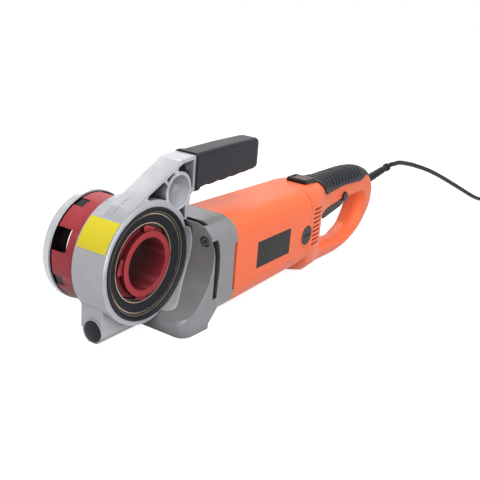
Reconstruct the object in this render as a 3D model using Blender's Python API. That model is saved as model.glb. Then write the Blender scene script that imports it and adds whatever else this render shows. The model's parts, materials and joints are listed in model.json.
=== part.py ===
"""Hand-held electric pipe threader with a removable die head, at real size.

The tool frame has its origin on the pipe axis at the lip of the drive ring. X runs along the motor to
the rear handle, Y along the pipe axis towards the die head's cover plate and Z is up. The frame stands
on the ground on its foot, its gear bulge and its rear handle, so its motor axis rises a little to the rear.
"""
import math

import bmesh
import bpy
from mathutils import Matrix, Vector, geometry

for old in list(bpy.data.objects):
    bpy.data.objects.remove(old)

# Clearances
SEAT_GAP = 0.0003
RUN_GAP = 0.0005
OVERRUN = 0.002

# Stance on the ground
AXIS_HEIGHT = 0.0863
STANCE_SLOPE = 0.036

# Head casting: barrel, arm and foot
BARREL_RADIUS = 0.0705
BARREL_DEPTH = 0.0466
BARREL_EDGE = 0.0008
LIP_WALL = 0.0052
LIP_RADIUS = BARREL_RADIUS - LIP_WALL
LIP_DEPTH = 0.0046
BARREL_WALL = 0.0092
BEARING_BORE = BARREL_RADIUS - BARREL_WALL
BACK_WALL = 0.0014
BACK_LAND = 0.0097
BACK_BORE = BEARING_BORE - BACK_LAND
ARM_FRONT = 0.0006
ARM_DEPTH = 0.0294
ARM_WALL = 0.0042
ARM_WEB = 0.006
ARM_REACH = 0.0065
ARM_END = BARREL_RADIUS + ARM_REACH
ARM_RISE = 0.0405
ARM_TOP = BARREL_RADIUS + ARM_RISE
ARM_BOTTOM = BARREL_RADIUS
ARM_KNEE_SHARE = 0.70
ARM_SHOULDER = 0.0034
ARM_FILLET = 0.008
ARM_BLEND_TURN = 139
ARM_SADDLE_TURN = 98
ARM_SADDLE_SHARES = (0.97, 0.998)
ARM_POCKET_FLOOR = 0.0055
TRIANGLE_FILLET = 0.0024
POCKET_FILLET = 0.0009
triangle_shares = [(-0.135, 1.066), (0.312, 1.275), (0.418, 1.177), (0.482, 1.02), (0.397, 0.956),
                   (0.199, 1.017), (0, 1.035)]
slot_shares = [(0.386, 1.308), (0.532, 1.380), (0.567, 1.362), (0.511, 1.248), (0.440, 1.223), (0.376, 1.281)]
top_shares = [(0.641, 1.411), (0.668, 1.450), (0.766, 1.492)]
low_shares = [(0.674, 0.777), (0.773, 0.675)]
BOSS_TURN = 57
BOSS_STAND = 0.0183
BOSS_RADIUS = 0.0222
BOSS_MOUTH = 0.0183
BOSS_BORE = 0.0150
BOSS_DEPTH = 0.017
RIB_THICKNESS = 0.0036
STUD_HEAD_RADIUS = 0.008
STUD_HEAD_DEPTH = 0.003
GRIP_AXIS_DROP = 0.0165
LAY_BEARING_BORE = 0.0118
FOOT_LEFT = -0.0565
FOOT_RIGHT = 0.016
FOOT_RADIUS = 0.0147
FOOT_Y = 0.0278
FOOT_Z = -0.0706
PLUG_RADIUS = 0.0126
PLUG_STEM = 0.0112
PLUG_DEPTH = 0.012
PLUG_DOME = 0.003

# Drive ring and what lies round it
RING_SPACE = 0.0108
RING_RADIUS = BEARING_BORE - RING_SPACE
RING_WALL = 0.0051
RING_BORE = RING_RADIUS - RING_WALL
RING_BACK = 0.0442
CUP_FRONT = 0.003
CUP_INNER_FRONT = 0.0064
CUP_REACH = 0.0068
CUP_RADIUS = RING_RADIUS + CUP_REACH
CUP_LIP = 0.0009
CUP_FLOOR = 0.0006
FRONT_BEARING_START = 0.0078
FRONT_BEARING_DEPTH = 0.0032
LIP_SEAL_PLAY = 0.0008
LIP_SEAL_PROUD = 0.0012
LIP_SEAL_DISH = 0.0014
LIP_SEAL_SKIRT = 0.0028
RETAINER_INNER = CUP_RADIUS + RUN_GAP
RETAINER_DEPTH = 0.0021

# Bevel gears between the drive ring and the layshaft, and spur gears between layshaft and armature
RING_TEETH = 84
BEVEL_TEETH = 12
BEVEL_PLAY = 0.001
BEVEL_OUTER = BEARING_BORE - BEVEL_PLAY
BEVEL_INNER = RING_RADIUS + BEVEL_PLAY
WHEEL_TEETH = 33
PINION_TEETH = 12
SPUR_MODULE = 0.00125
BACKLASH_SHARE = 0.14
ADDENDUM_SHARE = 0.95
DEDENDUM_SHARE = 1.25
PROFILE_SHIFT_SHARE = 0.3
RING_GEAR_RIM = 0.0045
SHAFT_RADIUS = 0.006
LAY_BEARING_SINK = 0.0085
LAY_FRONT_BEARING = BARREL_RADIUS - LAY_BEARING_SINK
LAY_BEARING_LENGTH = 0.008
LAY_REAR_BEARING_RADIUS = 0.0093
WHEEL_STAND = 0.0135
WHEEL_START = BARREL_RADIUS + WHEEL_STAND
WHEEL_WIDTH = 0.010
PINION_LEAD = 0.001
CAVITY_LEAD = 0.006
CAVITY_START = WHEEL_START - CAVITY_LEAD
BULKHEAD_SPACE = 0.0035
BULKHEAD_START = WHEEL_START + WHEEL_WIDTH + BULKHEAD_SPACE
BULKHEAD_THICKNESS = 0.008
BULKHEAD_END = BULKHEAD_START + BULKHEAD_THICKNESS
LAY_TAIL = 0.0065
LAY_END = BULKHEAD_START + LAY_TAIL

# Motor
MOTOR_Y = 0.0036
MOTOR_Z = -0.0217
MOTOR_HALF_WIDTH = 0.043
MOTOR_BOTTOM = -0.080
MOTOR_TOP = 0.0365
MOTOR_CORNER = 0.025
FAR_CORNER_SHARE = 0.56
MOTOR_END_BOTTOM = -0.0755
MOTOR_END_TOP = 0.0338
COLLAR_LAP = 0.0045
COLLAR_FRONT = BARREL_RADIUS - COLLAR_LAP
FAN_SPACE = 0.0098
MOTOR_FRONT = BULKHEAD_END + FAN_SPACE
MOTOR_LENGTH = 0.1817
MOTOR_BACK = MOTOR_FRONT + MOTOR_LENGTH
MOTOR_BORE = 0.0373
BRUSH_BORE = 0.030
BRUSH_BORE_LENGTH = 0.035
BRUSH_BORE_START = MOTOR_BACK - BRUSH_BORE_LENGTH
ARMATURE_RADIUS = 0.0235
ARMATURE_SETBACK = 0.0477
ARMATURE_START = MOTOR_FRONT + ARMATURE_SETBACK
ARMATURE_LENGTH = 0.064
STATOR_BORE = 0.0243
FAN_RADIUS = 0.034
FAN_SETBACK = 0.0022
FAN_START = MOTOR_FRONT + FAN_SETBACK
FAN_LENGTH = 0.010
FAN_BLADES = 12
COMMUTATOR_RADIUS = 0.014
COMMUTATOR_LENGTH = 0.028
COMMUTATOR_SPACE = 0.0005
COMMUTATOR_START = MOTOR_BACK - COMMUTATOR_SPACE - COMMUTATOR_LENGTH
MOTOR_SHAFT_RADIUS = 0.0055
MOTOR_BEARING_RADIUS = 0.013
REAR_BEARING_RADIUS = 0.011
REAR_BEARING_SETBACK = 0.0015
REAR_BEARING_START = MOTOR_BACK + REAR_BEARING_SETBACK
REAR_BEARING_LENGTH = 0.0075
REAR_BEARING_END = REAR_BEARING_START + REAR_BEARING_LENGTH
BRUSH_SETBACK = 0.0105
BRUSH_X = MOTOR_BACK - BRUSH_SETBACK
BRUSH_SIZE = 0.010
BRUSH_HEIGHT = 0.008
CAP_DROP = 0.0042
CAP_Z = MOTOR_Z - CAP_DROP
CAP_RADIUS = 0.0136
CAP_DEPTH = 0.006
CAP_PROUD = 0.0012
CAP_SLOT = 0.0018
CAP_LUG_WALL = 0.0026
CAP_LUG_DEPTH = 0.009
NAMEPLATE_SETBACK = 0.0470
NAMEPLATE_X = MOTOR_FRONT + NAMEPLATE_SETBACK
NAMEPLATE_LENGTH = 0.0805
NAMEPLATE_LOW = -0.0405
NAMEPLATE_HEIGHT = 0.0355
NAMEPLATE_THICKNESS = 0.001

# Gear housing
WINDOW_LAP = 0.002
WINDOW_RADIUS = BARREL_RADIUS - WINDOW_LAP
BULGE_LEFT = 0.0163
BULGE_WIDTH = 0.0837
BULGE_FILLET = 0.009
BULGE_ROUND = 0.012
bulge_shares = [(0.57, 0, 0.5), (0.16, 0.62, 0.8), (0, 0.80, 1), (0.06, 1.25, 1), (0.60, 1.25, 0.5),
                (0.62, 1.03, 1), (0.93, 0.76, 1.6), (1, 0.46, 1)]
bulge_round_shares = [(0, 1), (0.16, 0.52), (0.5, 0.16), (1, 0)]
CAVITY_RADIUS = 0.0225
PINION_CAVITY = 0.0098
VENT_SETBACK = 0.0055
VENT_WIDTH = 0.0088
VENT_BOW = 0.0018
VENT_DEPTH = 0.018
VENT_LOW = -0.054
VENT_HIGH = 0.019
NOTCH_LOW = -0.053
NOTCH_HIGH = 0.008
NOTCH_WIDTH = 0.0045
NOTCH_DEPTH = 0.006
TOP_SLOT_SETBACK = 0.0015
TOP_SLOT_WIDTH = 0.009
TOP_SLOT_NEAR = -0.0225
TOP_SLOT_FAR = 0.010
SPOT_FACE_RADIUS = 0.0068
SPOT_FACE_SETBACK = 0.002
SPOT_FACE_X = BARREL_RADIUS + SPOT_FACE_SETBACK
HOUSING_SCREW_Y = -0.026
HOUSING_SCREW_Z = 0.0165
HOUSING_SCREW_HEAD = 0.005
HOUSING_SCREW_SHANK = 0.0027
HOUSING_SCREW_LENGTH = 0.050

# Side grip
GRIP_LENGTH = 0.1325
GRIP_HALF_WIDTH = 0.0155
GRIP_LOW = 0.0695
GRIP_HIGH = 0.1125
GRIP_RISE = 0.0035
GRIP_CORNER = 0.0055
GRIP_FLANGE = 0.007
GRIP_FLANGE_PROUD = 0.0018
STUD_RADIUS = 0.006
STUD_LENGTH = 0.110

# Rear handle
HANDLE_HALF_WIDTH = 0.019
HANDLE_LENGTH = 0.261
HANDLE_END = MOTOR_BACK + HANDLE_LENGTH
PART_LINE = 0.0002
HOLE_SETBACK = 0.077
HOLE_FRONT = MOTOR_BACK + HOLE_SETBACK
HOLE_END_WALL = 0.0385
HOLE_BACK = HANDLE_END - HOLE_END_WALL
HOLE_TOP = -0.016
HOLE_BOTTOM = -0.080
HOLE_FILLET = 0.012
HOLE_ROUND = 0.0085
hole_shares = [(0, 0.125, 0.8), (0, 0.875, 1.3), (0.62, 0.985, 3), (0.86, 0.81, 2.0), (0.97, 0.5, 2.4),
               (1, 0.19, 1.4), (0.945, 0.016, 0.8), (0.45, 0, 4), (0.18, 0.0625, 4)]
hole_round_shares = [(1, 1), (0.80, 0.50), (0.50, 0.16), (0.20, 0)]
OVERMOULD_THICKNESS = 0.0024
RIB_COUNT = 13
RIB_SETBACK = 0.016
RIB_PITCH = 0.0104
RIB_GROOVE = 0.0030
RIB_DEPTH = 0.0009
RIB_LOW_SHARE = 0.50
OVERMOULD_SETBACK = 0.055
OVERMOULD_START = MOTOR_BACK + OVERMOULD_SETBACK
OVERMOULD_INSET = 0.0165
OVERMOULD_END = HANDLE_END - OVERMOULD_INSET
LOUVRE_COUNT = 9
LOUVRE_SETBACK = 0.0085
LOUVRE_START = MOTOR_BACK + LOUVRE_SETBACK
LOUVRE_LENGTH = 0.0225
LOUVRE_WIDTH = 0.0028
LOUVRE_PITCH = 0.0064
LOUVRE_TOP = 0.0078
LOUVRE_DEPTH = 0.006
POD_SETBACK = 0.0235
POD_FRONT = MOTOR_BACK + POD_SETBACK
POD_BACK = OVERMOULD_START - OVERMOULD_THICKNESS
POD_HALF_WIDTH = 0.0165
POD_TOP = 0.0400
POD_RISE = 0.0065
ROCKER_RISE = 0.0035
ROCKER_END_WALL = 0.0035
ROCKER_LENGTH = POD_BACK - POD_FRONT - 2 * ROCKER_END_WALL
ROCKER_X = (POD_BACK + POD_FRONT) / 2
ROCKER_HALF_WIDTH = 0.0118
PIN_RADIUS = 0.0012
PIN_SEAT = 0.0026
PIN_REACH = ROCKER_HALF_WIDTH + PIN_SEAT
SWITCH_SETBACK = 0.105
SWITCH_FRONT = MOTOR_BACK + SWITCH_SETBACK
SWITCH_LENGTH = 0.064
SWITCH_BACK = SWITCH_FRONT + SWITCH_LENGTH
SWITCH_HALF_WIDTH = 0.010
SWITCH_LOW = -0.004
SWITCH_HIGH = 0.020
TRIGGER_LEAD = 0.002
TRIGGER_X = SWITCH_BACK + TRIGGER_LEAD
TRIGGER_Z = -0.0205
TRIGGER_LENGTH = 0.070
TRIGGER_HALF_WIDTH = 0.007
TRIGGER_DROP = 0.018
LOCK_LEAD = 0.0245
LOCK_X = TRIGGER_X - LOCK_LEAD
LOCK_Z = -0.006
LOCK_RADIUS = 0.0078
LOCK_PROUD = 0.004
LOCK_DEPTH = 0.006
LOCK_BOSS = 0.0108
LOCK_BOSS_PROUD = 0.0009
HANDLE_SCREW_HEAD = 0.004
HANDLE_SCREW_SHANK = 0.002
HANDLE_SCREW_LENGTH = 0.026
HANDLE_SCREW_SINK = 0.006
HANDLE_SCREW_SPOTS = ("low_front", "high_front", "high_back", "low_back")
screw_shares = [(0.12, -0.80), (0.255, -0.02), (0.77, 0.05), (0.52, -1.04)]
handle_shares = [
    (0, 1, 0.7775, 0.927, 0.96, 0.96), (0.014, 1, 0.8636, 0.927, 1.2, 0.96),
    (0.045, 1, 0.9636, 0.93, 1.44, 0.96), (0.088, 0.988, 1, 0.93, 1.52, 0.96),
    (0.142, 0.93, 1, 0.928, 1.44, 0.88), (0.204, 0.72, 1, 0.905, 1.12, 0.8),
    (0.273, 0.535, 1, 0.89, 0.8, 0.68), (0.358, 0.4535, 1, 0.88, 0.56, 0.6),
    (0.544, 0.442, 0.985, 0.88, 0.48, 0.6), (0.65, 0.442, 0.953, 0.87, 0.52, 0.6),
    (0.72, 0.442, 0.912, 0.84, 0.56, 0.6), (0.784, 0.442, 0.85, 0.80, 0.56, 0.6),
    (0.84, 0.442, 0.78, 0.72, 0.56, 0.6), (0.888, 0.442, 0.69, 0.57, 0.56, 0.6),
    (0.925, 0.43, 0.61, 0.40, 0.56, 0.56), (0.957, 0.419, 0.535, 0.20, 0.56, 0.56),
    (0.981, 0.395, 0.45, 0.02, 0.56, 0.56), (1, 0.302, 0.30, -0.274, 0.4, 0.4)]
cover_shares = [(0, 1), (0.144, 0.27), (0.273, 0.33), (0.443, 0.38), (0.758, 0.30), (0.865, 0.46), (1, 0.33)]

# Die head
DIE_RADIUS = 0.0635
DIE_START = 0.0472
DIE_NECK_RADIUS = 0.060
DIE_NECK_START = 0.0843
COVER_START = 0.0864
COVER_THICKNESS = 0.0108
COVER_RADIUS = 0.065
COVER_BORE = 0.040
COVER_EDGE = 0.0012
TAIL_START = 0.0014
LOBE_SINK = 0.0032
TAIL_STEP = 0.0095
TAIL_PLAY = 0.0007
TAIL_CORNER = RING_BORE - TAIL_PLAY
TAIL_WALL = 0.0142
TAIL_BORE = TAIL_CORNER - TAIL_WALL
COLLAR_WALL = 0.0072
TAIL_COLLAR = TAIL_BORE + COLLAR_WALL
TAIL_LOBES = (82, 172, 262, 352)
LOBE_SPREAD = 13
SLOT_TURN = 22.5
SCREW_TURN = 42
SCREW_CIRCLE = 0.046
COVER_SCREW_HEAD = 0.0042
COVER_SCREW_SHANK = 0.0024
COVER_SCREW_SINK = 0.0045
COVER_SCREW_LENGTH = 0.022
CHASER_COUNT = 4
CHASER_WIDTH = 0.013
CHASER_THICKNESS = 0.0125
CHASER_INNER = 0.0278
CHASER_LENGTH = 0.0345
CHASER_START = 0.0715
WINDOW_WIDTH = 0.027
WINDOW_START = 0.0635

# Mains lead
RELIEF_LENGTH = 0.0605
RELIEF_ROOT = 0.0076
RELIEF_TIP = 0.0055
RELIEF_COLLAR = 0.0069
RELIEF_COLLAR_LENGTH = 0.005
RELIEF_RISE = 0.358
RELIEF_YAW = -0.284
RELIEF_INSET = 0.0005
RELIEF_X = HANDLE_END - RELIEF_INSET
RELIEF_Z = -0.0065
RELIEF_SINK = 0.010
RELIEF_RINGS = 5
RELIEF_GROOVE = 0.0006
CORD_RADIUS = 0.004
COIL_X = 1.105
COIL_Y = -0.136
COIL_RADIUS = 0.0615
COIL_TURNS = 6.5
COIL_PITCH = 0.0087
LAYER_RISE = 0.0085
POINTS_PER_TURN = 24
COIL_TAIL = 0.050
REST_GAP = 0.0002
PLUG_LENGTH = 0.046
PLUG_HALF_WIDTH = 0.018
PIN_SPREAD = 0.0095
PLUG_PIN_RADIUS = 0.0024
PLUG_PIN_LENGTH = 0.019
plug_shares = [(0, 0.34, 0.5), (0.10, 0.40, 0.55), (0.45, 0.55, 0.62), (0.62, 0.95, 0.92), (0.7, 1, 1),
               (0.97, 1, 1), (1, 0.94, 0.92)]

# The free lead's points, in metres from the pipe axis over the ground, before the stance is centred
cord_points = [
    (0.6297, -0.0152, 0.1246), (0.6500, -0.0165, 0.1248), (0.6732, -0.0180, 0.1214), (0.7000, -0.0210, 0.1163),
    (0.7201, -0.0241, 0.1115), (0.7535, -0.0291, 0.1030), (0.7884, -0.0345, 0.0924), (0.8254, -0.0403, 0.0796),
    (0.8640, -0.0463, 0.0655), (0.9049, -0.0527, 0.0500), (0.9440, -0.0592, 0.0350), (0.9800, -0.0650, 0.0215),
    (1.0130, -0.0695, 0.0115), (1.0450, -0.0725, 0.0060), (1.0760, -0.0740, 0.0044)]

# Worked out from the sizes above
TILT = math.atan(STANCE_SLOPE)
LARGE_FACETS = 48
FACETS = 28
RING_FACETS = 40
MIDDLE_FACETS = 16
SMALL_FACETS = 12
PRESSURE_ANGLE = math.radians(20)
BEVEL_RATIO = RING_TEETH / BEVEL_TEETH
BEVEL_MODULE = 2 * BEVEL_OUTER / RING_TEETH
BEVEL_RADIUS = BEVEL_OUTER / BEVEL_RATIO
SPUR_CENTRES = SPUR_MODULE * (WHEEL_TEETH + PINION_TEETH) / 2
LAY_Y = MOTOR_Y + math.sqrt(SPUR_CENTRES ** 2 - MOTOR_Z ** 2)
COVER_BACK = COVER_START + COVER_THICKNESS
MOTOR_NEAR = MOTOR_Y - MOTOR_HALF_WIDTH
MOTOR_FAR = MOTOR_Y + MOTOR_HALF_WIDTH
GRIP_Y = ARM_FRONT + ARM_DEPTH / 2
GRIP_AXIS_Z = ARM_TOP - GRIP_AXIS_DROP
RING_GEAR_BACK = LAY_Y + BEVEL_RADIUS + DEDENDUM_SHARE * BEVEL_MODULE + RING_GEAR_RIM
BOSS_X = (BARREL_RADIUS + BOSS_STAND) * math.cos(math.radians(BOSS_TURN))
BOSS_Z = (BARREL_RADIUS + BOSS_STAND) * math.sin(math.radians(BOSS_TURN))


def ground(x):
    """Height of the ground under the tool frame's x."""
    return -AXIS_HEIGHT / math.cos(TILT) - x * math.tan(TILT)


def material(name, colour, roughness, metallic=0.0):
    made = bpy.data.materials.new(name)
    made.use_nodes = True
    shader = made.node_tree.nodes["Principled BSDF"]
    shader.inputs["Base Color"].default_value = (*colour, 1.0)
    shader.inputs["Roughness"].default_value = roughness
    shader.inputs["Metallic"].default_value = metallic
    made.diffuse_color = (*colour, 1.0)
    return made


CAST_ALUMINIUM = material("cast_aluminium", (0.56, 0.56, 0.58), 0.45, 0.6)
GEAR_CASE = material("gear_case_aluminium", (0.42, 0.41, 0.42), 0.45, 0.6)
STEEL = material("bright_steel", (0.55, 0.55, 0.56), 0.3, 1.0)
DARK_STEEL = material("dark_steel", (0.12, 0.12, 0.12), 0.35, 1.0)
BRASS = material("pale_brass", (0.78, 0.62, 0.42), 0.35, 1.0)
BRONZE = material("bearing_bronze", (0.48, 0.32, 0.16), 0.4, 1.0)
COPPER = material("commutator_copper", (0.72, 0.40, 0.26), 0.35, 1.0)
CARBON = material("brush_carbon", (0.03, 0.03, 0.03), 0.7)
RED_STEEL = material("red_painted_steel", (0.36, 0.045, 0.05), 0.4)
SILVER = material("plated_cover", (0.72, 0.73, 0.75), 0.3, 0.8)
ORANGE = material("orange_plastic", (0.90, 0.20, 0.07), 0.38)
BLACK_PLASTIC = material("black_plastic", (0.03, 0.03, 0.032), 0.45)
RUBBER = material("black_rubber", (0.035, 0.035, 0.04), 0.6)
SEAL_RUBBER = material("seal_rubber", (0.03, 0.03, 0.035), 0.5)
RED_PLASTIC = material("red_plastic", (0.22, 0.02, 0.02), 0.4)
PLATE = material("nameplate_grey", (0.10, 0.10, 0.11), 0.5)
CORD_PVC = material("cord_rubber", (0.025, 0.025, 0.03), 0.55)
LAMINATION = material("lamination_steel", (0.30, 0.30, 0.31), 0.5, 0.9)


def empty(name, location, parent=None):
    made = bpy.data.objects.new(name, None)
    bpy.context.collection.objects.link(made)
    made.location = location
    made.parent = parent
    return made


RELIEF_DIRECTION = Vector((1.0, RELIEF_YAW, RELIEF_RISE)).normalized()
RELIEF_POINT = Vector((RELIEF_X, MOTOR_Y, RELIEF_Z))
RELIEF_END = RELIEF_POINT + RELIEF_DIRECTION * RELIEF_LENGTH
TO_GROUND = Matrix.Rotation(-TILT, 4, "Y")
RIGHT_REACH = (TO_GROUND @ RELIEF_END).x + RELIEF_COLLAR * math.sqrt(1 - RELIEF_DIRECTION.x ** 2)
CENTRE_X = (RIGHT_REACH - BARREL_RADIUS) / 2
CENTRE_Y = (COVER_BACK + MOTOR_NEAR - CAP_PROUD) / 2

stance = empty("stance", (-CENTRE_X, -CENTRE_Y, 0))
tool = empty("tool_frame", (0, 0, AXIS_HEIGHT), stance)
tool.rotation_euler = (0, -TILT, 0)
layshaft_axis = empty("layshaft_axis", (0, LAY_Y, 0), tool)
armature_axis = empty("armature_axis", (0, MOTOR_Y, MOTOR_Z), tool)
trigger_pivot = empty("trigger_pivot", (TRIGGER_X, MOTOR_Y, TRIGGER_Z), tool)
rocker_pivot = empty("rocker_pivot", (ROCKER_X, MOTOR_Y, POD_TOP - ROCKER_RISE), tool)
lock_axis = empty("lock_axis", (LOCK_X, MOTOR_Y - HANDLE_HALF_WIDTH, LOCK_Z), tool)


def from_bmesh(name, mesh, surface, parent):
    bmesh.ops.recalc_face_normals(mesh, faces=mesh.faces)
    data = bpy.data.meshes.new(name)
    mesh.to_mesh(data)
    mesh.free()
    data.shade_smooth()
    data.set_sharp_from_angle(angle=math.radians(35))
    data.materials.append(surface)
    made = bpy.data.objects.new(name, data)
    bpy.context.collection.objects.link(made)
    made.parent = parent
    return made


def cutter(made):
    made.hide_render = True
    made.display_type = "WIRE"
    return made


def combine(target, other, operation):
    """Keep a Boolean of another object, which then only guides the first."""
    cutter(other)
    step = target.modifiers.new(operation.lower(), "BOOLEAN")
    step.solver = "EXACT"
    step.operation = operation
    step.object = other
    return target


def cut(target, *others):
    for other in others:
        combine(target, other, "DIFFERENCE")
    return target


def join(target, *others):
    for other in others:
        combine(target, other, "UNION")
    return target


def soften(target, width, segments=1, angle=40):
    step = target.modifiers.new("soft_edges", "BEVEL")
    step.width = width
    step.segments = segments
    step.limit_method = "ANGLE"
    step.angle_limit = math.radians(angle)
    step.use_clamp_overlap = True
    return target


AXES = {"X": Vector((1, 0, 0)), "Y": Vector((0, 1, 0)), "Z": Vector((0, 0, 1))}


def across(axis, first, second, along):
    """A point given by two places across an axis and one along it."""
    if axis == "X":
        return Vector((along, first, second))
    if axis == "Y":
        return Vector((first, along, second))
    return Vector((first, second, along))


def turned(name, axis, profile, surface, parent=tool, facets=FACETS, at=(0, 0)):
    """Revolve a closed profile of (radius, place along the axis) about an axis."""
    mesh = bmesh.new()
    centre = across(axis, at[0], at[1], 0)
    points = [mesh.verts.new(centre + across(axis, r, 0, y)) for r, y in profile]
    edges = [mesh.edges.new((a, b)) for a, b in zip(points, points[1:] + points[:1])]
    bmesh.ops.spin(mesh, geom=points + edges, cent=centre, axis=AXES[axis], angle=math.tau, steps=facets,
                   use_merge=True, use_duplicate=False)
    bmesh.ops.remove_doubles(mesh, verts=mesh.verts, dist=1e-6)
    return from_bmesh(name, mesh, surface, parent)


def rod(name, axis, radius, low, high, surface=STEEL, parent=tool, facets=FACETS, at=(0, 0), tip=None):
    """A round bar along an axis, which tapers where a tip radius is given."""
    mesh = bmesh.new()
    turn = AXES["Z"].rotation_difference(AXES[axis]).to_matrix().to_4x4()
    place = Matrix.Translation(across(axis, at[0], at[1], (low + high) / 2))
    bmesh.ops.create_cone(mesh, cap_ends=True, segments=facets, radius1=radius, matrix=place @ turn,
                          radius2=radius if tip is None else tip, depth=high - low)
    return from_bmesh(name, mesh, surface, parent)


def block(name, low, high, surface=STEEL, parent=tool):
    mesh = bmesh.new()
    bmesh.ops.create_cube(mesh, size=1.0)
    size = [b - a for a, b in zip(low, high)]
    middle = [(a + b) / 2 for a, b in zip(low, high)]
    bmesh.ops.scale(mesh, vec=size, verts=mesh.verts)
    bmesh.ops.translate(mesh, vec=middle, verts=mesh.verts)
    return from_bmesh(name, mesh, surface, parent)


def prism(name, axis, outline, low, high, surface=STEEL, parent=tool):
    """Extrude an outline of two places across an axis between two places along it."""
    mesh = bmesh.new()
    face = mesh.faces.new([mesh.verts.new(across(axis, a, b, low)) for a, b in outline])
    grown = bmesh.ops.extrude_face_region(mesh, geom=[face])
    moved = [v for v in grown["geom"] if isinstance(v, bmesh.types.BMVert)]
    bmesh.ops.translate(mesh, vec=AXES[axis] * (high - low), verts=moved)
    return from_bmesh(name, mesh, surface, parent)


def filleted(corners, steps=5):
    """Round each corner of a closed outline; a corner is (place, place, radius)."""
    points = []
    count = len(corners)
    for index, (a, b, radius) in enumerate(corners):
        here = Vector((a, b))
        if radius == 0:
            points.append((a, b))
            continue
        before = (Vector(corners[index - 1][:2]) - here).normalized()
        after = (Vector(corners[(index + 1) % count][:2]) - here).normalized()
        half = before.angle(after) / 2
        reach = radius / math.tan(half)
        middle = here + (before + after).normalized() * (radius / math.sin(half))
        start = here + before * reach - middle
        end = here + after * reach - middle
        sweep = start.angle_signed(end)
        for step in range(steps + 1):
            turn = Matrix.Rotation(-sweep * step / steps, 2)
            spot = middle + turn @ start
            points.append((spot.x, spot.y))
    return points


def section(y_middle, half_width, z_low, z_high, low_radius, high_radius, far_share=1.0, steps=3):
    """A rounded rectangle across the X axis, always with the same number of points."""
    left = y_middle - half_width
    right = y_middle + half_width
    corners = [(left, z_low, low_radius), (right, z_low, low_radius),
               (right, z_high, high_radius * far_share), (left, z_high, high_radius)]
    return filleted(corners, steps)


def resized(outline, growth):
    """An outline grown by about one length on all sides, about the middle of its box."""
    lows = [min(p[i] for p in outline) for i in range(2)]
    highs = [max(p[i] for p in outline) for i in range(2)]
    middle = [(a + b) / 2 for a, b in zip(lows, highs)]
    scale = [(b - a + 2 * growth) / (b - a) for a, b in zip(lows, highs)]
    return [(middle[0] + (a - middle[0]) * scale[0], middle[1] + (b - middle[1]) * scale[1]) for a, b in outline]


def loft(name, sections, surface=STEEL, parent=tool, axis="X"):
    """Bridge sections given as (place along the axis, outline) into a closed solid."""
    mesh = bmesh.new()
    loops = []
    for along, outline in sections:
        loops.append([mesh.verts.new(across(axis, a, b, along)) for a, b in outline])
    for near, far in zip(loops, loops[1:]):
        for index in range(len(near)):
            after = (index + 1) % len(near)
            mesh.faces.new((near[index], near[after], far[after], far[index]))
    mesh.faces.new(loops[0])
    mesh.faces.new(loops[-1])
    return from_bmesh(name, mesh, surface, parent)


def ring(name, inner, outer, low, high, surface=STEEL, parent=tool, axis="Y", at=(0, 0)):
    facets = RING_FACETS if axis == "Y" else MIDDLE_FACETS
    profile = [(inner, low), (outer, low), (outer, high), (inner, high)]
    return turned(name, axis, profile, surface, parent, facets, at)


def polar(radius, degrees):
    return (radius * math.cos(math.radians(degrees)), radius * math.sin(math.radians(degrees)))


def under_ground(name):
    """A cutter for all that would reach below the ground."""
    left = -2 * BARREL_RADIUS
    right = HANDLE_END + BARREL_RADIUS
    depth = -2 * AXIS_HEIGHT
    outline = [(left, ground(left)), (right, ground(right)), (right, depth), (left, depth)]
    return prism(name, "Y", outline, -2 * BARREL_RADIUS, 2 * BARREL_RADIUS)


# Head casting

def knee_point():
    return (BARREL_RADIUS * ARM_KNEE_SHARE, ARM_TOP - RIB_THICKNESS / 2)


def touch(radius, point):
    """Where the left-hand line from a point touches a circle about the pipe axis."""
    turn = math.atan2(point[1], point[0]) + math.acos(radius / math.hypot(*point))
    return (radius * math.cos(turn), radius * math.sin(turn))


def arm_outline():
    knee = knee_point()
    left = touch(BARREL_RADIUS + ARM_SHOULDER, knee)
    blend = polar(BARREL_RADIUS - ARM_SHOULDER, ARM_BLEND_TURN)
    throat = (ARM_END - GRIP_FLANGE, ARM_BOTTOM - ARM_WALL)
    return filleted([
        (blend[0], blend[1], 0),
        (left[0], left[1], 5 * ARM_FILLET),
        (knee[0], knee[1], ARM_FILLET),
        (ARM_END, ARM_TOP, 0),
        (ARM_END, ARM_BOTTOM, 0),
        (throat[0], throat[1], ARM_FILLET / 2),
        (ARM_END - 2.6 * ARM_WALL, MOTOR_TOP + ARM_WALL / 2, 0),
        (0, MOTOR_TOP, 0)], 4)


def arm_pockets():
    """The arm's four pockets; the boss and the barrel, which are joined later, close two of their sides."""
    right = ARM_END - ARM_WALL
    top = ARM_TOP - ARM_WALL
    low_right = ARM_END - 3.8 * ARM_WALL
    corner = [(right, top), (right, BOSS_Z), (BOSS_X + BOSS_RADIUS * 0.6, BOSS_Z),
              (BOSS_X + BOSS_RADIUS * 0.2, BOSS_Z + BOSS_RADIUS * 0.7)]
    foot = BARREL_RADIUS * low_shares[1][1] - BOSS_RADIUS * 0.4
    pockets = [triangle_shares, slot_shares, top_shares, low_shares[:1], low_shares[1:]]
    triangle, slot, above, beside, under = [[(BARREL_RADIUS * a, BARREL_RADIUS * b) for a, b in shares]
                                            for shares in pockets]
    below = beside + [(low_right, BOSS_Z - BOSS_RADIUS / 2), (low_right, foot)] + under
    pairs = [(triangle, TRIANGLE_FILLET), (slot, POCKET_FILLET), (above + corner, POCKET_FILLET), (below, 0)]
    return [filleted([(a, b, radius) for a, b in outline], 2) for outline, radius in pairs]


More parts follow.
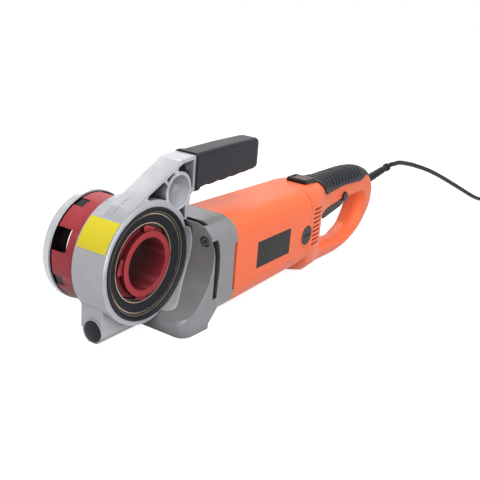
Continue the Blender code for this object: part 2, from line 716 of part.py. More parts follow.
def arm_saddle():
    """The arm's far edge runs out into the barrel's full depth."""
    knee = Vector(knee_point())
    left = Vector(touch(BARREL_RADIUS + ARM_SHOULDER, knee))
    reach = left + (knee - left).normalized() * ARM_DEPTH / 2
    middle = polar(BARREL_RADIUS / 2, (ARM_BLEND_TURN + ARM_SADDLE_TURN) / 2)
    blend = polar(BARREL_RADIUS - ARM_SHOULDER, ARM_BLEND_TURN)
    front = filleted([(*blend, 0), (left.x, left.y, 5 * ARM_FILLET), (reach.x, reach.y, 0), (*middle, 0)], 4)
    spread = ARM_SADDLE_TURN - ARM_BLEND_TURN
    count = len(front) - 1
    back = [polar(BARREL_RADIUS, ARM_BLEND_TURN + spread * k / (count - 1)) for k in range(count)] + [middle]
    arm_back = ARM_FRONT + ARM_DEPTH
    inside, flush = [[(a * share, b * share) for a, b in front] for share in ARM_SADDLE_SHARES]
    sections = [(arm_back - ARM_WALL, inside), (arm_back, flush), (BARREL_DEPTH - BARREL_EDGE, back)]
    return loft("arm_saddle", sections, axis="Y")


def head_casting():
    arm_back = ARM_FRONT + ARM_DEPTH
    arm = prism("head_casting", "Y", arm_outline(), ARM_FRONT, arm_back, CAST_ALUMINIUM)
    for pocket in arm_pockets():
        cut(arm, prism("arm_pocket", "Y", pocket, ARM_FRONT - OVERRUN, arm_back - ARM_POCKET_FLOOR))
    barrel = rod("barrel", "Y", BARREL_RADIUS, 0, BARREL_DEPTH, facets=LARGE_FACETS)
    soften(barrel, BARREL_EDGE)
    boss = rod("boss", "Y", BOSS_RADIUS, ARM_FRONT, arm_back - OVERRUN, at=(BOSS_X, BOSS_Z))
    join(arm, arm_saddle(), barrel, boss)
    lug = rod("foot_boss", "X", FOOT_RADIUS, FOOT_LEFT, FOOT_RIGHT, at=(FOOT_Y, FOOT_Z), facets=FACETS)
    saddle_front = FOOT_Y - FOOT_RADIUS + BARREL_EDGE
    saddle_back = BARREL_DEPTH - BARREL_EDGE
    saddle = prism("foot_saddle", "X", [
        (saddle_front, FOOT_Z), (saddle_back, FOOT_Z), (saddle_back, -BARREL_RADIUS / 2),
        (saddle_front, -BARREL_RADIUS / 2)], FOOT_LEFT + BARREL_EDGE, FOOT_RIGHT - BARREL_EDGE)
    join(arm, lug, saddle)
    bore = turned("barrel_bore", "Y", [
        (0, -OVERRUN), (LIP_RADIUS, -OVERRUN), (LIP_RADIUS, LIP_DEPTH), (BEARING_BORE, LIP_DEPTH),
        (BEARING_BORE, BARREL_DEPTH - BACK_WALL), (BACK_BORE, BARREL_DEPTH - BACK_WALL),
        (BACK_BORE, BARREL_DEPTH + OVERRUN), (0, BARREL_DEPTH + OVERRUN)], STEEL, facets=LARGE_FACETS)
    boss_bore = turned("boss_bore", "Y", [
        (0, ARM_FRONT - OVERRUN), (BOSS_MOUTH, ARM_FRONT - OVERRUN), (BOSS_MOUTH, ARM_FRONT + OVERRUN / 2),
        (BOSS_BORE, ARM_FRONT + BOSS_DEPTH * 0.7), (BOSS_BORE * 0.8, ARM_FRONT + BOSS_DEPTH),
        (0, ARM_FRONT + BOSS_DEPTH)], STEEL, at=(BOSS_X, BOSS_Z))
    shaft_bore = rod("shaft_bore", "X", LAY_BEARING_BORE, BEVEL_INNER, BARREL_RADIUS + OVERRUN, at=(LAY_Y, 0))
    plug_bore = rod("plug_bore", "X", PLUG_STEM + SEAT_GAP, FOOT_LEFT - OVERRUN,
                    FOOT_LEFT + PLUG_DEPTH + SEAT_GAP, at=(FOOT_Y, FOOT_Z))
    stud_bore = rod("stud_bore", "X", STUD_RADIUS + SEAT_GAP, ARM_END - ARM_WALL - OVERRUN, ARM_END + OVERRUN,
                    at=(GRIP_Y, GRIP_AXIS_Z))
    cut(arm, bore, boss_bore, shaft_bore, plug_bore, stud_bore, under_ground("ground_under_foot"))


def foot_plug():
    face = FOOT_LEFT - SEAT_GAP
    profile = [(0, face - PLUG_DOME), (PLUG_RADIUS / 2, face - PLUG_DOME * 0.85),
               (PLUG_RADIUS * 0.9, face - PLUG_DOME * 0.45), (PLUG_RADIUS, face - PLUG_DOME * 0.15),
               (PLUG_RADIUS, face), (PLUG_STEM, face), (PLUG_STEM, FOOT_LEFT + PLUG_DEPTH),
               (0, FOOT_LEFT + PLUG_DEPTH)]
    plug = turned("foot_plug", "X", profile, RUBBER, facets=MIDDLE_FACETS, at=(FOOT_Y, FOOT_Z))
    cut(plug, under_ground("ground_under_plug"))


# Drive ring group

def drive_ring_group():
    front = FRONT_BEARING_START
    drive = rod("drive_ring", "Y", RING_RADIUS, front, RING_BACK, STEEL)
    octagon = [polar(RING_BORE, 45 * k) for k in range(8)]
    cut(drive, prism("ring_bore", "Y", octagon, front - OVERRUN, RING_BACK + OVERRUN))
    back = front - SEAT_GAP
    turned("ring_cup", "Y", [
        (RING_BORE, CUP_INNER_FRONT), (RING_BORE + CUP_LIP, CUP_INNER_FRONT),
        (RING_BORE + CUP_LIP, back - CUP_FLOOR),
        (CUP_RADIUS - CUP_LIP, back - CUP_FLOOR), (CUP_RADIUS - CUP_LIP, CUP_FRONT), (CUP_RADIUS, CUP_FRONT),
        (CUP_RADIUS, back), (RING_BORE, back)], BRASS, facets=RING_FACETS)
    inside = RING_BORE + CUP_LIP + SEAT_GAP
    outside = CUP_RADIUS - CUP_LIP - SEAT_GAP
    turned("face_seal", "Y", [
        (inside, CUP_INNER_FRONT - RUN_GAP), (outside, CUP_FRONT - RUN_GAP), (outside, back - CUP_FLOOR - SEAT_GAP),
        (inside, back - CUP_FLOOR - SEAT_GAP)], SEAL_RUBBER, facets=RING_FACETS)
    seal_outer = LIP_RADIUS - SEAT_GAP
    seal_inner = CUP_RADIUS + LIP_SEAL_PLAY
    step = BEARING_BORE + SEAT_GAP
    turned("outer_seal", "Y", [
        (seal_inner, LIP_SEAL_DISH), (step, LIP_SEAL_DISH / 2), (step + LIP_SEAL_PROUD, -LIP_SEAL_PROUD),
        (seal_outer, -LIP_SEAL_PROUD), (seal_outer, LIP_DEPTH - SEAT_GAP), (step, LIP_DEPTH - SEAT_GAP),
        (step, LIP_SEAL_SKIRT), (seal_inner, LIP_SEAL_SKIRT)], SEAL_RUBBER, facets=RING_FACETS)
    ring("bearing_retainer", RETAINER_INNER, BEARING_BORE - SEAT_GAP, back - 2 * RETAINER_DEPTH, back, STEEL)
    ring("front_ring_bearing", RING_RADIUS + RUN_GAP, BEARING_BORE - SEAT_GAP, front,
         front + FRONT_BEARING_DEPTH, BRONZE)
    ring("rear_ring_bearing", RING_RADIUS + RUN_GAP, BEARING_BORE - SEAT_GAP, RING_GEAR_BACK + RUN_GAP,
         BARREL_DEPTH - BACK_WALL - SEAT_GAP, BRONZE)


# Gears

def involute(angle):
    return math.tan(angle) - angle


def tooth_gap_turn(teeth):
    return math.pi / teeth


def gear_outline(teeth, module, shift_share, turn):
    """A spur gear's outline, with a tooth on the given turn; a pinion's tooth is shifted outwards."""
    pitch = teeth * module / 2
    base = pitch * math.cos(PRESSURE_ANGLE)
    root = pitch - (DEDENDUM_SHARE - shift_share) * module
    tip = pitch + (ADDENDUM_SHARE + shift_share) * module
    thickness = math.pi / 2 * (1 - BACKLASH_SHARE) + 2 * shift_share * math.tan(PRESSURE_ANGLE)
    low = max(base, root)
    flank = []
    if root < base:
        flank.append((root, thickness / teeth + involute(PRESSURE_ANGLE)))
    for share in (0, 1) if teeth > PINION_TEETH else (0, 0.45, 1):
        radius = low + (tip - low) * share
        slope = math.acos(min(1, base / radius))
        flank.append((radius, thickness / teeth + involute(PRESSURE_ANGLE) - involute(slope)))
    points = []
    for tooth in range(teeth):
        middle = turn + math.tau * tooth / teeth
        points += [(r * math.cos(middle - half), r * math.sin(middle - half)) for r, half in flank]
        points += [(r * math.cos(middle + half), r * math.sin(middle + half)) for r, half in reversed(flank)]
    return points


def ring_gear():
    """The crown gear: every line of its teeth runs to the apex where both axes meet."""
    pitch = math.tau / RING_TEETH
    slope = math.tan(PRESSURE_ANGLE)
    tip = (ADDENDUM_SHARE - PROFILE_SHIFT_SHARE) * BEVEL_MODULE
    root = (DEDENDUM_SHARE + PROFILE_SHIFT_SHARE) * BEVEL_MODULE
    half = math.pi * BEVEL_MODULE / 4 * (1 - BACKLASH_SHARE) - PROFILE_SHIFT_SHARE * BEVEL_MODULE * slope
    tooth = [(-half - root * slope, root), (-half + tip * slope, -tip), (half - tip * slope, -tip),
             (half + root * slope, root)]
    inner_share = (RING_RADIUS + SEAT_GAP) / BEVEL_OUTER
    mesh = bmesh.new()
    outer_teeth, inner_teeth, outer_back, inner_back = [], [], [], []
    for index in range(RING_TEETH):
        middle = pitch * (index + 0.5)
        x = BEVEL_OUTER * math.cos(middle - pitch / 2)
        z = BEVEL_OUTER * math.sin(middle - pitch / 2)
        outer_back.append(mesh.verts.new((x, RING_GEAR_BACK, z)))
        inner_back.append(mesh.verts.new((x * inner_share, RING_GEAR_BACK, z * inner_share)))
        for aside, offset in tooth:
            x = BEVEL_OUTER * math.cos(middle + aside / BEVEL_OUTER)
            z = BEVEL_OUTER * math.sin(middle + aside / BEVEL_OUTER)
            depth = BEVEL_RADIUS + offset
            outer_teeth.append(mesh.verts.new((x, LAY_Y + depth, z)))
            inner_teeth.append(mesh.verts.new((x * inner_share, LAY_Y + depth * inner_share, z * inner_share)))
    count = len(outer_teeth)
    for index in range(count):
        after = (index + 1) % count
        mesh.faces.new((outer_teeth[index], outer_teeth[after], inner_teeth[after], inner_teeth[index]))
    for teeth, back in ((outer_teeth, outer_back), (inner_teeth, inner_back)):
        for index in range(RING_TEETH):
            after = back[(index + 1) % RING_TEETH]
            first, second, third, last = teeth[4 * index:4 * index + 4]
            following = teeth[(4 * index + 4) % count]
            mesh.faces.new((back[index], first, second, third))
            mesh.faces.new((back[index], third, last, after))
            mesh.faces.new((last, following, after))
    for index in range(RING_TEETH):
        after = (index + 1) % RING_TEETH
        mesh.faces.new((outer_back[index], outer_back[after], inner_back[after], inner_back[index]))
    from_bmesh("ring_gear", mesh, STEEL, tool)


def gear_train():
    towards = math.atan2(MOTOR_Z, MOTOR_Y - LAY_Y)
    outer = gear_outline(BEVEL_TEETH, BEVEL_MODULE, PROFILE_SHIFT_SHARE, 0)
    inner = [(y * BEVEL_INNER / BEVEL_OUTER, z * BEVEL_INNER / BEVEL_OUTER) for y, z in outer]
    shaft = loft("layshaft", [(BEVEL_INNER, inner), (BEVEL_OUTER, outer)], STEEL, layshaft_axis)
    join(shaft, rod("lay_rod", "X", SHAFT_RADIUS, BEVEL_OUTER - OVERRUN, LAY_END, parent=layshaft_axis,
                    facets=MIDDLE_FACETS))
    wheel = prism("reduction_gear", "X", gear_outline(WHEEL_TEETH, SPUR_MODULE, -PROFILE_SHIFT_SHARE, towards),
                  WHEEL_START, WHEEL_START + WHEEL_WIDTH, STEEL, layshaft_axis)
    cut(wheel, rod("wheel_bore", "X", SHAFT_RADIUS + SEAT_GAP, WHEEL_START - OVERRUN,
                   WHEEL_START + WHEEL_WIDTH + OVERRUN, parent=layshaft_axis, facets=MIDDLE_FACETS))
    ring("layshaft_bearing_front", SHAFT_RADIUS + SEAT_GAP, LAY_BEARING_BORE - SEAT_GAP,
         LAY_FRONT_BEARING, LAY_FRONT_BEARING + LAY_BEARING_LENGTH, BRONZE, axis="X", at=(LAY_Y, 0))
    ring("layshaft_bearing_rear", SHAFT_RADIUS + SEAT_GAP, LAY_REAR_BEARING_RADIUS, BULKHEAD_START + SEAT_GAP,
         LAY_END, BRONZE, axis="X", at=(LAY_Y, 0))


# Gear housing

def motor_section(share, grow=0.0):
    """The motor's section, a share of the way from the gear housing to the rear handle."""
    low = MOTOR_BOTTOM + (MOTOR_END_BOTTOM - MOTOR_BOTTOM) * share
    high = MOTOR_TOP + (MOTOR_END_TOP - MOTOR_TOP) * share
    corner = MOTOR_CORNER + grow
    return section(MOTOR_Y, MOTOR_HALF_WIDTH + grow, low - grow, high + grow, corner, corner, FAR_CORNER_SHARE)


def gear_housing():
    back = MOTOR_FRONT - SEAT_GAP
    case = loft("gear_housing", [(COLLAR_FRONT, motor_section(0)), (back, motor_section(0))], GEAR_CASE)
    outline = filleted([(BULGE_LEFT + BULGE_WIDTH * a, -AXIS_HEIGHT * b, BULGE_FILLET * r)
                        for a, b, r in bulge_shares], 4)
    near = [(MOTOR_NEAR + BULGE_ROUND * a, resized(outline, -BULGE_ROUND * b)) for a, b in bulge_round_shares]
    far = [(MOTOR_FAR - BULGE_ROUND * a, resized(outline, -BULGE_ROUND * b)) for a, b in bulge_round_shares]
    join(case, loft("bulge", near + far[::-1], axis="Y"))
    window = rod("pipe_window", "Y", WINDOW_RADIUS, MOTOR_NEAR - OVERRUN, OVERRUN, facets=LARGE_FACETS)
    seat = rod("barrel_seat", "Y", BARREL_RADIUS + SEAT_GAP, -SEAT_GAP, BARREL_DEPTH + OVERRUN, facets=LARGE_FACETS)
    cavity = rod("gear_cavity", "X", CAVITY_RADIUS, CAVITY_START, BULKHEAD_START, at=(LAY_Y, 0))
    pinion_cavity = rod("pinion_cavity", "X", PINION_CAVITY, CAVITY_START, BULKHEAD_START,
                        at=(MOTOR_Y, MOTOR_Z))
    shaft = rod("shaft_passage", "X", LAY_BEARING_BORE, COLLAR_FRONT - OVERRUN, CAVITY_START + OVERRUN,
                at=(LAY_Y, 0))
    lay_seat = rod("lay_seat", "X", LAY_REAR_BEARING_RADIUS + SEAT_GAP, BULKHEAD_START - OVERRUN,
                   LAY_END + SEAT_GAP, at=(LAY_Y, 0))
    motor_seat = rod("motor_seat", "X", MOTOR_BEARING_RADIUS + SEAT_GAP, BULKHEAD_START - OVERRUN,
                     BULKHEAD_END + OVERRUN, at=(MOTOR_Y, MOTOR_Z))
    fan_room = rod("fan_room", "X", FAN_RADIUS + OVERRUN, BULKHEAD_END, back + OVERRUN, at=(MOTOR_Y, MOTOR_Z))
    spot = rod("spot_face", "X", SPOT_FACE_RADIUS, BULGE_LEFT, SPOT_FACE_X,
               at=(HOUSING_SCREW_Y, HOUSING_SCREW_Z), facets=MIDDLE_FACETS)
    hole = rod("screw_hole", "X", HOUSING_SCREW_SHANK + SEAT_GAP, BULGE_LEFT, back + OVERRUN,
               at=(HOUSING_SCREW_Y, HOUSING_SCREW_Z), facets=SMALL_FACETS)
    vent_start = COLLAR_FRONT + VENT_SETBACK
    vent_end = vent_start + VENT_WIDTH
    middle = (VENT_LOW + VENT_HIGH) / 2
    vent = prism("side_vent", "Y", [
        (vent_start - 3 * VENT_BOW, VENT_HIGH), (vent_start - VENT_BOW / 2, (middle + VENT_HIGH) / 2),
        (vent_start, middle), (vent_start - VENT_BOW / 2, VENT_LOW), (vent_end - 2 * VENT_BOW / 2, VENT_LOW),
        (vent_end + VENT_BOW / 2, middle), (vent_end, (middle + VENT_HIGH) / 2), (vent_end - 2 * VENT_BOW, VENT_HIGH)],
        MOTOR_NEAR - OVERRUN, MOTOR_NEAR + VENT_DEPTH)
    slot_start = COLLAR_FRONT + TOP_SLOT_SETBACK
    slot = block("top_slot", (slot_start, TOP_SLOT_NEAR, MOTOR_TOP - VENT_DEPTH),
                 (slot_start + TOP_SLOT_WIDTH, TOP_SLOT_FAR, MOTOR_TOP + OVERRUN))
    notch = block("edge_notch", (back - NOTCH_WIDTH, MOTOR_NEAR - OVERRUN, NOTCH_LOW),
                  (back + OVERRUN, MOTOR_NEAR + NOTCH_DEPTH, NOTCH_HIGH))
    cut(case, window, seat, cavity, pinion_cavity, shaft, lay_seat, motor_seat, fan_room, spot, hole, vent,
        slot, notch, under_ground("ground_under_bulge"))
    screw_at = (HOUSING_SCREW_Y, HOUSING_SCREW_Z)
    face = SPOT_FACE_X - SEAT_GAP
    screw = rod("housing_screw", "X", HOUSING_SCREW_HEAD, face - HOUSING_SCREW_HEAD, face, DARK_STEEL,
                at=screw_at, facets=MIDDLE_FACETS)
    join(screw, rod("housing_screw_shank", "X", HOUSING_SCREW_SHANK, face - SEAT_GAP,
                    face + HOUSING_SCREW_LENGTH, at=screw_at, facets=SMALL_FACETS))
    cut(screw, rod("hex_socket", "X", HOUSING_SCREW_HEAD / 2, face - HOUSING_SCREW_HEAD - OVERRUN,
                   face - HOUSING_SCREW_HEAD / 2, at=screw_at, facets=6))


# Motor

def cap_lugs(radius, outside, depth):
    """A round at each brush cap, from outside the motor's side to a depth in it."""
    return [rod("near_cap_round", "Y", radius, MOTOR_NEAR - outside, MOTOR_NEAR + depth, at=(BRUSH_X, CAP_Z)),
            rod("far_cap_round", "Y", radius, MOTOR_FAR - depth, MOTOR_FAR + outside, at=(BRUSH_X, CAP_Z))]


def motor_housing():
    start = MOTOR_FRONT
    case = loft("motor_housing", [(start, motor_section(0)), (MOTOR_BACK, motor_section(1))], ORANGE)
    axis = (MOTOR_Y, MOTOR_Z)
    wide = rod("motor_bore", "X", MOTOR_BORE, start - OVERRUN, BRUSH_BORE_START, at=axis)
    narrow = rod("brush_bore", "X", BRUSH_BORE, BRUSH_BORE_START - OVERRUN, MOTOR_BACK + OVERRUN, at=axis)
    hole = rod("screw_thread", "X", HOUSING_SCREW_SHANK + SEAT_GAP, start - OVERRUN,
               SPOT_FACE_X + HOUSING_SCREW_LENGTH + OVERRUN, at=(HOUSING_SCREW_Y, HOUSING_SCREW_Z),
               facets=SMALL_FACETS)
    plate = block("nameplate_recess", (NAMEPLATE_X, MOTOR_NEAR - OVERRUN, NAMEPLATE_LOW),
                  (NAMEPLATE_X + NAMEPLATE_LENGTH, MOTOR_NEAR + NAMEPLATE_THICKNESS,
                   NAMEPLATE_LOW + NAMEPLATE_HEIGHT))
    cut(case, wide, narrow, hole, plate)
    depth = CAP_DEPTH - CAP_PROUD + SEAT_GAP
    join(case, *cap_lugs(CAP_RADIUS + CAP_LUG_WALL, 0, CAP_LUG_DEPTH))
    cut(case, *cap_lugs(CAP_RADIUS + SEAT_GAP, OVERRUN, depth))
    half = BRUSH_SIZE / 2 + SEAT_GAP
    rise = BRUSH_HEIGHT / 2 + SEAT_GAP
    cut(case, block("brush_tunnel", (BRUSH_X - half, MOTOR_NEAR + CAP_DEPTH / 2, MOTOR_Z - rise),
                    (BRUSH_X + half, MOTOR_FAR - CAP_DEPTH / 2, MOTOR_Z + rise)))
    block("nameplate", (NAMEPLATE_X + SEAT_GAP, MOTOR_NEAR, NAMEPLATE_LOW + SEAT_GAP),
          (NAMEPLATE_X + NAMEPLATE_LENGTH - SEAT_GAP, MOTOR_NEAR + NAMEPLATE_THICKNESS - SEAT_GAP,
           NAMEPLATE_LOW + NAMEPLATE_HEIGHT - SEAT_GAP), PLATE)


def brushes():
    half = BRUSH_SIZE / 2
    rise = BRUSH_HEIGHT / 2
    for side, name in ((-1, "near"), (1, "far")):
        wall = MOTOR_Y + side * MOTOR_HALF_WIDTH
        outer = wall + side * CAP_PROUD
        inner = outer - side * CAP_DEPTH
        tip = MOTOR_Y + side * (COMMUTATOR_RADIUS + RUN_GAP)
        end = inner - side * SEAT_GAP
        block("brush_" + name, (BRUSH_X - half, min(tip, end), MOTOR_Z - rise),
              (BRUSH_X + half, max(tip, end), MOTOR_Z + rise), CARBON)
        cap = rod("brush_cap_" + name, "Y", CAP_RADIUS, min(inner, outer), max(inner, outer), BLACK_PLASTIC,
                  at=(BRUSH_X, CAP_Z), facets=FACETS)
        soften(cap, CAP_PROUD / 2)
        slot_in = outer - side * CAP_SLOT
        slot_out = outer + side * OVERRUN
        reach = CAP_RADIUS / 2
        cut(cap, block("cap_slot_" + name, (BRUSH_X - reach, min(slot_in, slot_out), CAP_Z - CAP_SLOT / 2),
                       (BRUSH_X + reach, max(slot_in, slot_out), CAP_Z + CAP_SLOT / 2)))


def armature():
    away = math.atan2(-MOTOR_Z, LAY_Y - MOTOR_Y) + tooth_gap_turn(PINION_TEETH)
    start = WHEEL_START - PINION_LEAD
    length = WHEEL_WIDTH + 2 * PINION_LEAD
    shaft = prism("armature_shaft", "X", gear_outline(PINION_TEETH, SPUR_MODULE, PROFILE_SHIFT_SHARE, away),
                  start, start + length, STEEL, armature_axis)
    join(shaft, rod("armature_rod", "X", MOTOR_SHAFT_RADIUS, start + length - OVERRUN, REAR_BEARING_END,
                    parent=armature_axis, facets=MIDDLE_FACETS))
    bore = MOTOR_SHAFT_RADIUS + SEAT_GAP
    ring("armature_core", bore, ARMATURE_RADIUS, ARMATURE_START, ARMATURE_START + ARMATURE_LENGTH, LAMINATION,
         armature_axis, "X")
    ring("commutator", bore, COMMUTATOR_RADIUS, COMMUTATOR_START, COMMUTATOR_START + COMMUTATOR_LENGTH, COPPER,
         armature_axis, "X")
    disc = FAN_LENGTH / 4
    fan = rod("cooling_fan", "X", FAN_RADIUS, FAN_START, FAN_START + disc, BLACK_PLASTIC, armature_axis)
    join(fan, rod("fan_hub", "X", FAN_RADIUS / 3, FAN_START + disc / 2, FAN_START + FAN_LENGTH,
                  parent=armature_axis, facets=MIDDLE_FACETS))
    blades = bmesh.new()
    for index in range(FAN_BLADES):
        made = bmesh.ops.create_cube(blades, size=1.0)["verts"]
        bmesh.ops.scale(blades, verts=made, vec=(FAN_LENGTH - disc / 2, FAN_RADIUS * 0.7, disc * 0.7))
        bmesh.ops.translate(blades, verts=made, vec=(FAN_START + (FAN_LENGTH + disc / 2) / 2,
                                                     FAN_RADIUS * 0.63, 0))
        bmesh.ops.rotate(blades, verts=made, cent=(0, 0, 0),
                         matrix=Matrix.Rotation(math.tau * index / FAN_BLADES, 3, "X"))
    join(fan, from_bmesh("fan_blades", blades, BLACK_PLASTIC, armature_axis))
    cut(fan, rod("fan_bore", "X", bore, FAN_START - OVERRUN, FAN_START + FAN_LENGTH + OVERRUN,
                 parent=armature_axis, facets=MIDDLE_FACETS))
    ring("stator", STATOR_BORE, MOTOR_BORE - SEAT_GAP, ARMATURE_START - CAP_DEPTH / 2,
         ARMATURE_START + ARMATURE_LENGTH + CAP_DEPTH / 2, LAMINATION, axis="X", at=(MOTOR_Y, MOTOR_Z))
    ring("motor_bearing_front", bore, MOTOR_BEARING_RADIUS, BULKHEAD_START + SEAT_GAP, BULKHEAD_END, STEEL,
         axis="X", at=(MOTOR_Y, MOTOR_Z))
    ring("motor_bearing_rear", bore, REAR_BEARING_RADIUS, REAR_BEARING_START, REAR_BEARING_END, STEEL,
         axis="X", at=(MOTOR_Y, MOTOR_Z))


# Die head

def turned_about_pipe(made, degrees):
    made.data.transform(Matrix.Rotation(math.radians(-degrees), 4, "Y"))
    return made


def radial_block(name, degrees, width, inner, outer, low, high, surface=STEEL):
    made = block(name, (inner, low, -width / 2), (outer, high, width / 2), surface)
    return turned_about_pipe(made, degrees)


def die_head():
    seat = COVER_START - SEAT_GAP
    body = turned("die_head_body", "Y", [
        (0, DIE_START), (DIE_RADIUS, DIE_START), (DIE_RADIUS, DIE_NECK_START),
        (DIE_NECK_RADIUS, DIE_NECK_START), (DIE_NECK_RADIUS, seat), (0, seat)], RED_STEEL, facets=LARGE_FACETS)
    octagon = [polar(TAIL_CORNER, 45 * k) for k in range(8)]
    join(body, prism("tail", "Y", octagon, TAIL_START + LOBE_SINK, DIE_START + OVERRUN))
    root = TAIL_BORE + COLLAR_WALL / 2
    for near, far in zip(TAIL_LOBES, TAIL_LOBES[1:] + (TAIL_LOBES[0] + 360,)):
        low = near + LOBE_SPREAD
        high = far - LOBE_SPREAD
        cut(body, prism("tail_pocket", "Y", [polar(root, low), polar(2 * TAIL_CORNER, low),
                                             polar(2 * TAIL_CORNER, high), polar(root, high)],
                        TAIL_START, TAIL_STEP))
    join(body, rod("tail_collar", "Y", TAIL_COLLAR, TAIL_START, TAIL_STEP + OVERRUN, facets=RING_FACETS))
    cut(body, rod("die_bore", "Y", TAIL_BORE, TAIL_START - OVERRUN, COVER_BACK, facets=RING_FACETS))
    for index in range(CHASER_COUNT):
        turn = SLOT_TURN + 360 * index / CHASER_COUNT
        cut(body, radial_block("die_slot", turn, CHASER_WIDTH + 2 * SEAT_GAP, TAIL_BORE / 2,
                               DIE_RADIUS + OVERRUN, CHASER_START - SEAT_GAP, COVER_BACK))
        cut(body, radial_block("chip_window", turn + 45, WINDOW_WIDTH, TAIL_BORE / 2,
                               DIE_RADIUS + OVERRUN, WINDOW_START, COVER_BACK))
        chaser = radial_block("chaser_%d" % (index + 1), turn, CHASER_WIDTH, CHASER_INNER,
                              CHASER_INNER + CHASER_LENGTH, CHASER_START, CHASER_START + CHASER_THICKNESS,
                              DARK_STEEL)
        soften(chaser, BARREL_EDGE / 2, 1)
    cover = turned("cover_plate", "Y", [
        (COVER_BORE, COVER_START), (COVER_RADIUS - COVER_EDGE, COVER_START),
        (COVER_RADIUS, COVER_START + COVER_EDGE), (COVER_RADIUS, COVER_BACK - 2 * COVER_EDGE),
        (COVER_RADIUS - COVER_EDGE, COVER_BACK - 2 * COVER_EDGE), (COVER_RADIUS - COVER_EDGE, COVER_BACK),
        (COVER_BORE, COVER_BACK)], SILVER, facets=LARGE_FACETS)
    for index in range(CHASER_COUNT):
        at = polar(SCREW_CIRCLE, SCREW_TURN + 360 * index / CHASER_COUNT)
        sink = COVER_BACK - COVER_SCREW_SINK
        tip = sink - COVER_SCREW_LENGTH
        cut(cover, rod("screw_sink", "Y", COVER_SCREW_HEAD + SEAT_GAP, sink - SEAT_GAP, COVER_BACK + OVERRUN,
                       at=at, facets=SMALL_FACETS))
        cut(cover, rod("screw_way", "Y", COVER_SCREW_SHANK + SEAT_GAP, COVER_START - OVERRUN, sink + OVERRUN,
                       at=at, facets=SMALL_FACETS))
        cut(body, rod("screw_thread", "Y", COVER_SCREW_SHANK + SEAT_GAP, tip - OVERRUN, COVER_BACK, at=at,
                      facets=SMALL_FACETS))
        screw = rod("cover_screw_%d" % (index + 1), "Y", COVER_SCREW_HEAD, sink, sink + COVER_SCREW_SINK * 0.9,
                    DARK_STEEL, at=at, facets=SMALL_FACETS)
        join(screw, rod("cover_screw_shank", "Y", COVER_SCREW_SHANK, tip, sink + OVERRUN / 2, at=at,
                        facets=SMALL_FACETS))
        cut(screw, rod("cover_screw_socket", "Y", COVER_SCREW_HEAD / 2, sink + COVER_SCREW_SINK / 2,
                       COVER_BACK + OVERRUN, at=at, facets=6))


# Side grip

SCALLOP_COUNT = 5
SCALLOP_RADIUS = 0.017
SCALLOP_DEPTH = 0.0028
grip_shares = [(0, 1, 1), (0.50, 1.0, 1.0), (0.93, 0.98, 0.94), (0.98, 0.93, 0.90), (1.0, 0.80, 0.78)]


def side_grip():
    start = ARM_END + SEAT_GAP
    middle = (GRIP_LOW + GRIP_HIGH) / 2
    half_height = (GRIP_HIGH - GRIP_LOW) / 2
    sections = []
    for share, wide, tall in grip_shares:
        sections.append((start + GRIP_LENGTH * share, section(
            GRIP_Y, GRIP_HALF_WIDTH * wide, middle - half_height * tall + GRIP_RISE * share,
            middle + half_height * tall + GRIP_RISE * share, GRIP_CORNER, GRIP_CORNER)))
    grip = loft("side_grip", sections, RUBBER)
    flange = section(GRIP_Y, GRIP_HALF_WIDTH + GRIP_FLANGE_PROUD, GRIP_LOW - GRIP_FLANGE_PROUD,
                     GRIP_HIGH + GRIP_FLANGE_PROUD / 2, GRIP_CORNER, GRIP_CORNER)
    join(grip, loft("grip_flange", [(start, flange), (start + GRIP_FLANGE, flange)], RUBBER))
    pitch = (GRIP_LENGTH - 2 * GRIP_FLANGE) / SCALLOP_COUNT
    for index in range(SCALLOP_COUNT):
        x = start + 1.5 * GRIP_FLANGE + pitch * (index + 0.5)
        cut(grip, rod("scallop", "Y", SCALLOP_RADIUS, GRIP_Y - 2 * GRIP_HALF_WIDTH, GRIP_Y + 2 * GRIP_HALF_WIDTH,
                      at=(x, GRIP_LOW - SCALLOP_RADIUS + SCALLOP_DEPTH + GRIP_RISE * (x - start) / GRIP_LENGTH),
                      facets=FACETS))
    head = ARM_END - ARM_WALL - SEAT_GAP
    stud_end = head + STUD_LENGTH
    cut(grip, rod("grip_bore", "X", STUD_RADIUS + SEAT_GAP, ARM_END, stud_end + SEAT_GAP,
                  at=(GRIP_Y, GRIP_AXIS_Z), facets=MIDDLE_FACETS))
    stud = rod("grip_stud", "X", STUD_HEAD_RADIUS, head - STUD_HEAD_DEPTH, head, STEEL,
               at=(GRIP_Y, GRIP_AXIS_Z), facets=6)
    join(stud, rod("stud_shank", "X", STUD_RADIUS, head - SEAT_GAP, stud_end, at=(GRIP_Y, GRIP_AXIS_Z),
                   facets=MIDDLE_FACETS))


# Rear handle

def handle_loft(name, grow, surface=ORANGE):
    start = MOTOR_BACK + SEAT_GAP
    length = HANDLE_END - start
    sections = []
    for along, wide, low, high, low_corner, high_corner in handle_shares:
        x = start + length * along
        sections.append((x, section(
            MOTOR_Y, MOTOR_HALF_WIDTH * wide + grow, ground(x) * low - grow, MOTOR_TOP * high + grow,
            MOTOR_CORNER * low_corner + grow, MOTOR_CORNER * high_corner + grow,
            min(1, FAR_CORNER_SHARE / high_corner))))
    return loft(name, sections, surface)


def relief_rod(name, radius, start, end, surface=RUBBER, facets=MIDDLE_FACETS):
    """A rod along the strain relief, between two places measured from its root."""
    made = rod(name, "Z", radius, start, end, surface, facets=facets)
    made.location = RELIEF_POINT
    made.rotation_euler = RELIEF_DIRECTION.to_track_quat("Z", "Y").to_euler()
    return made


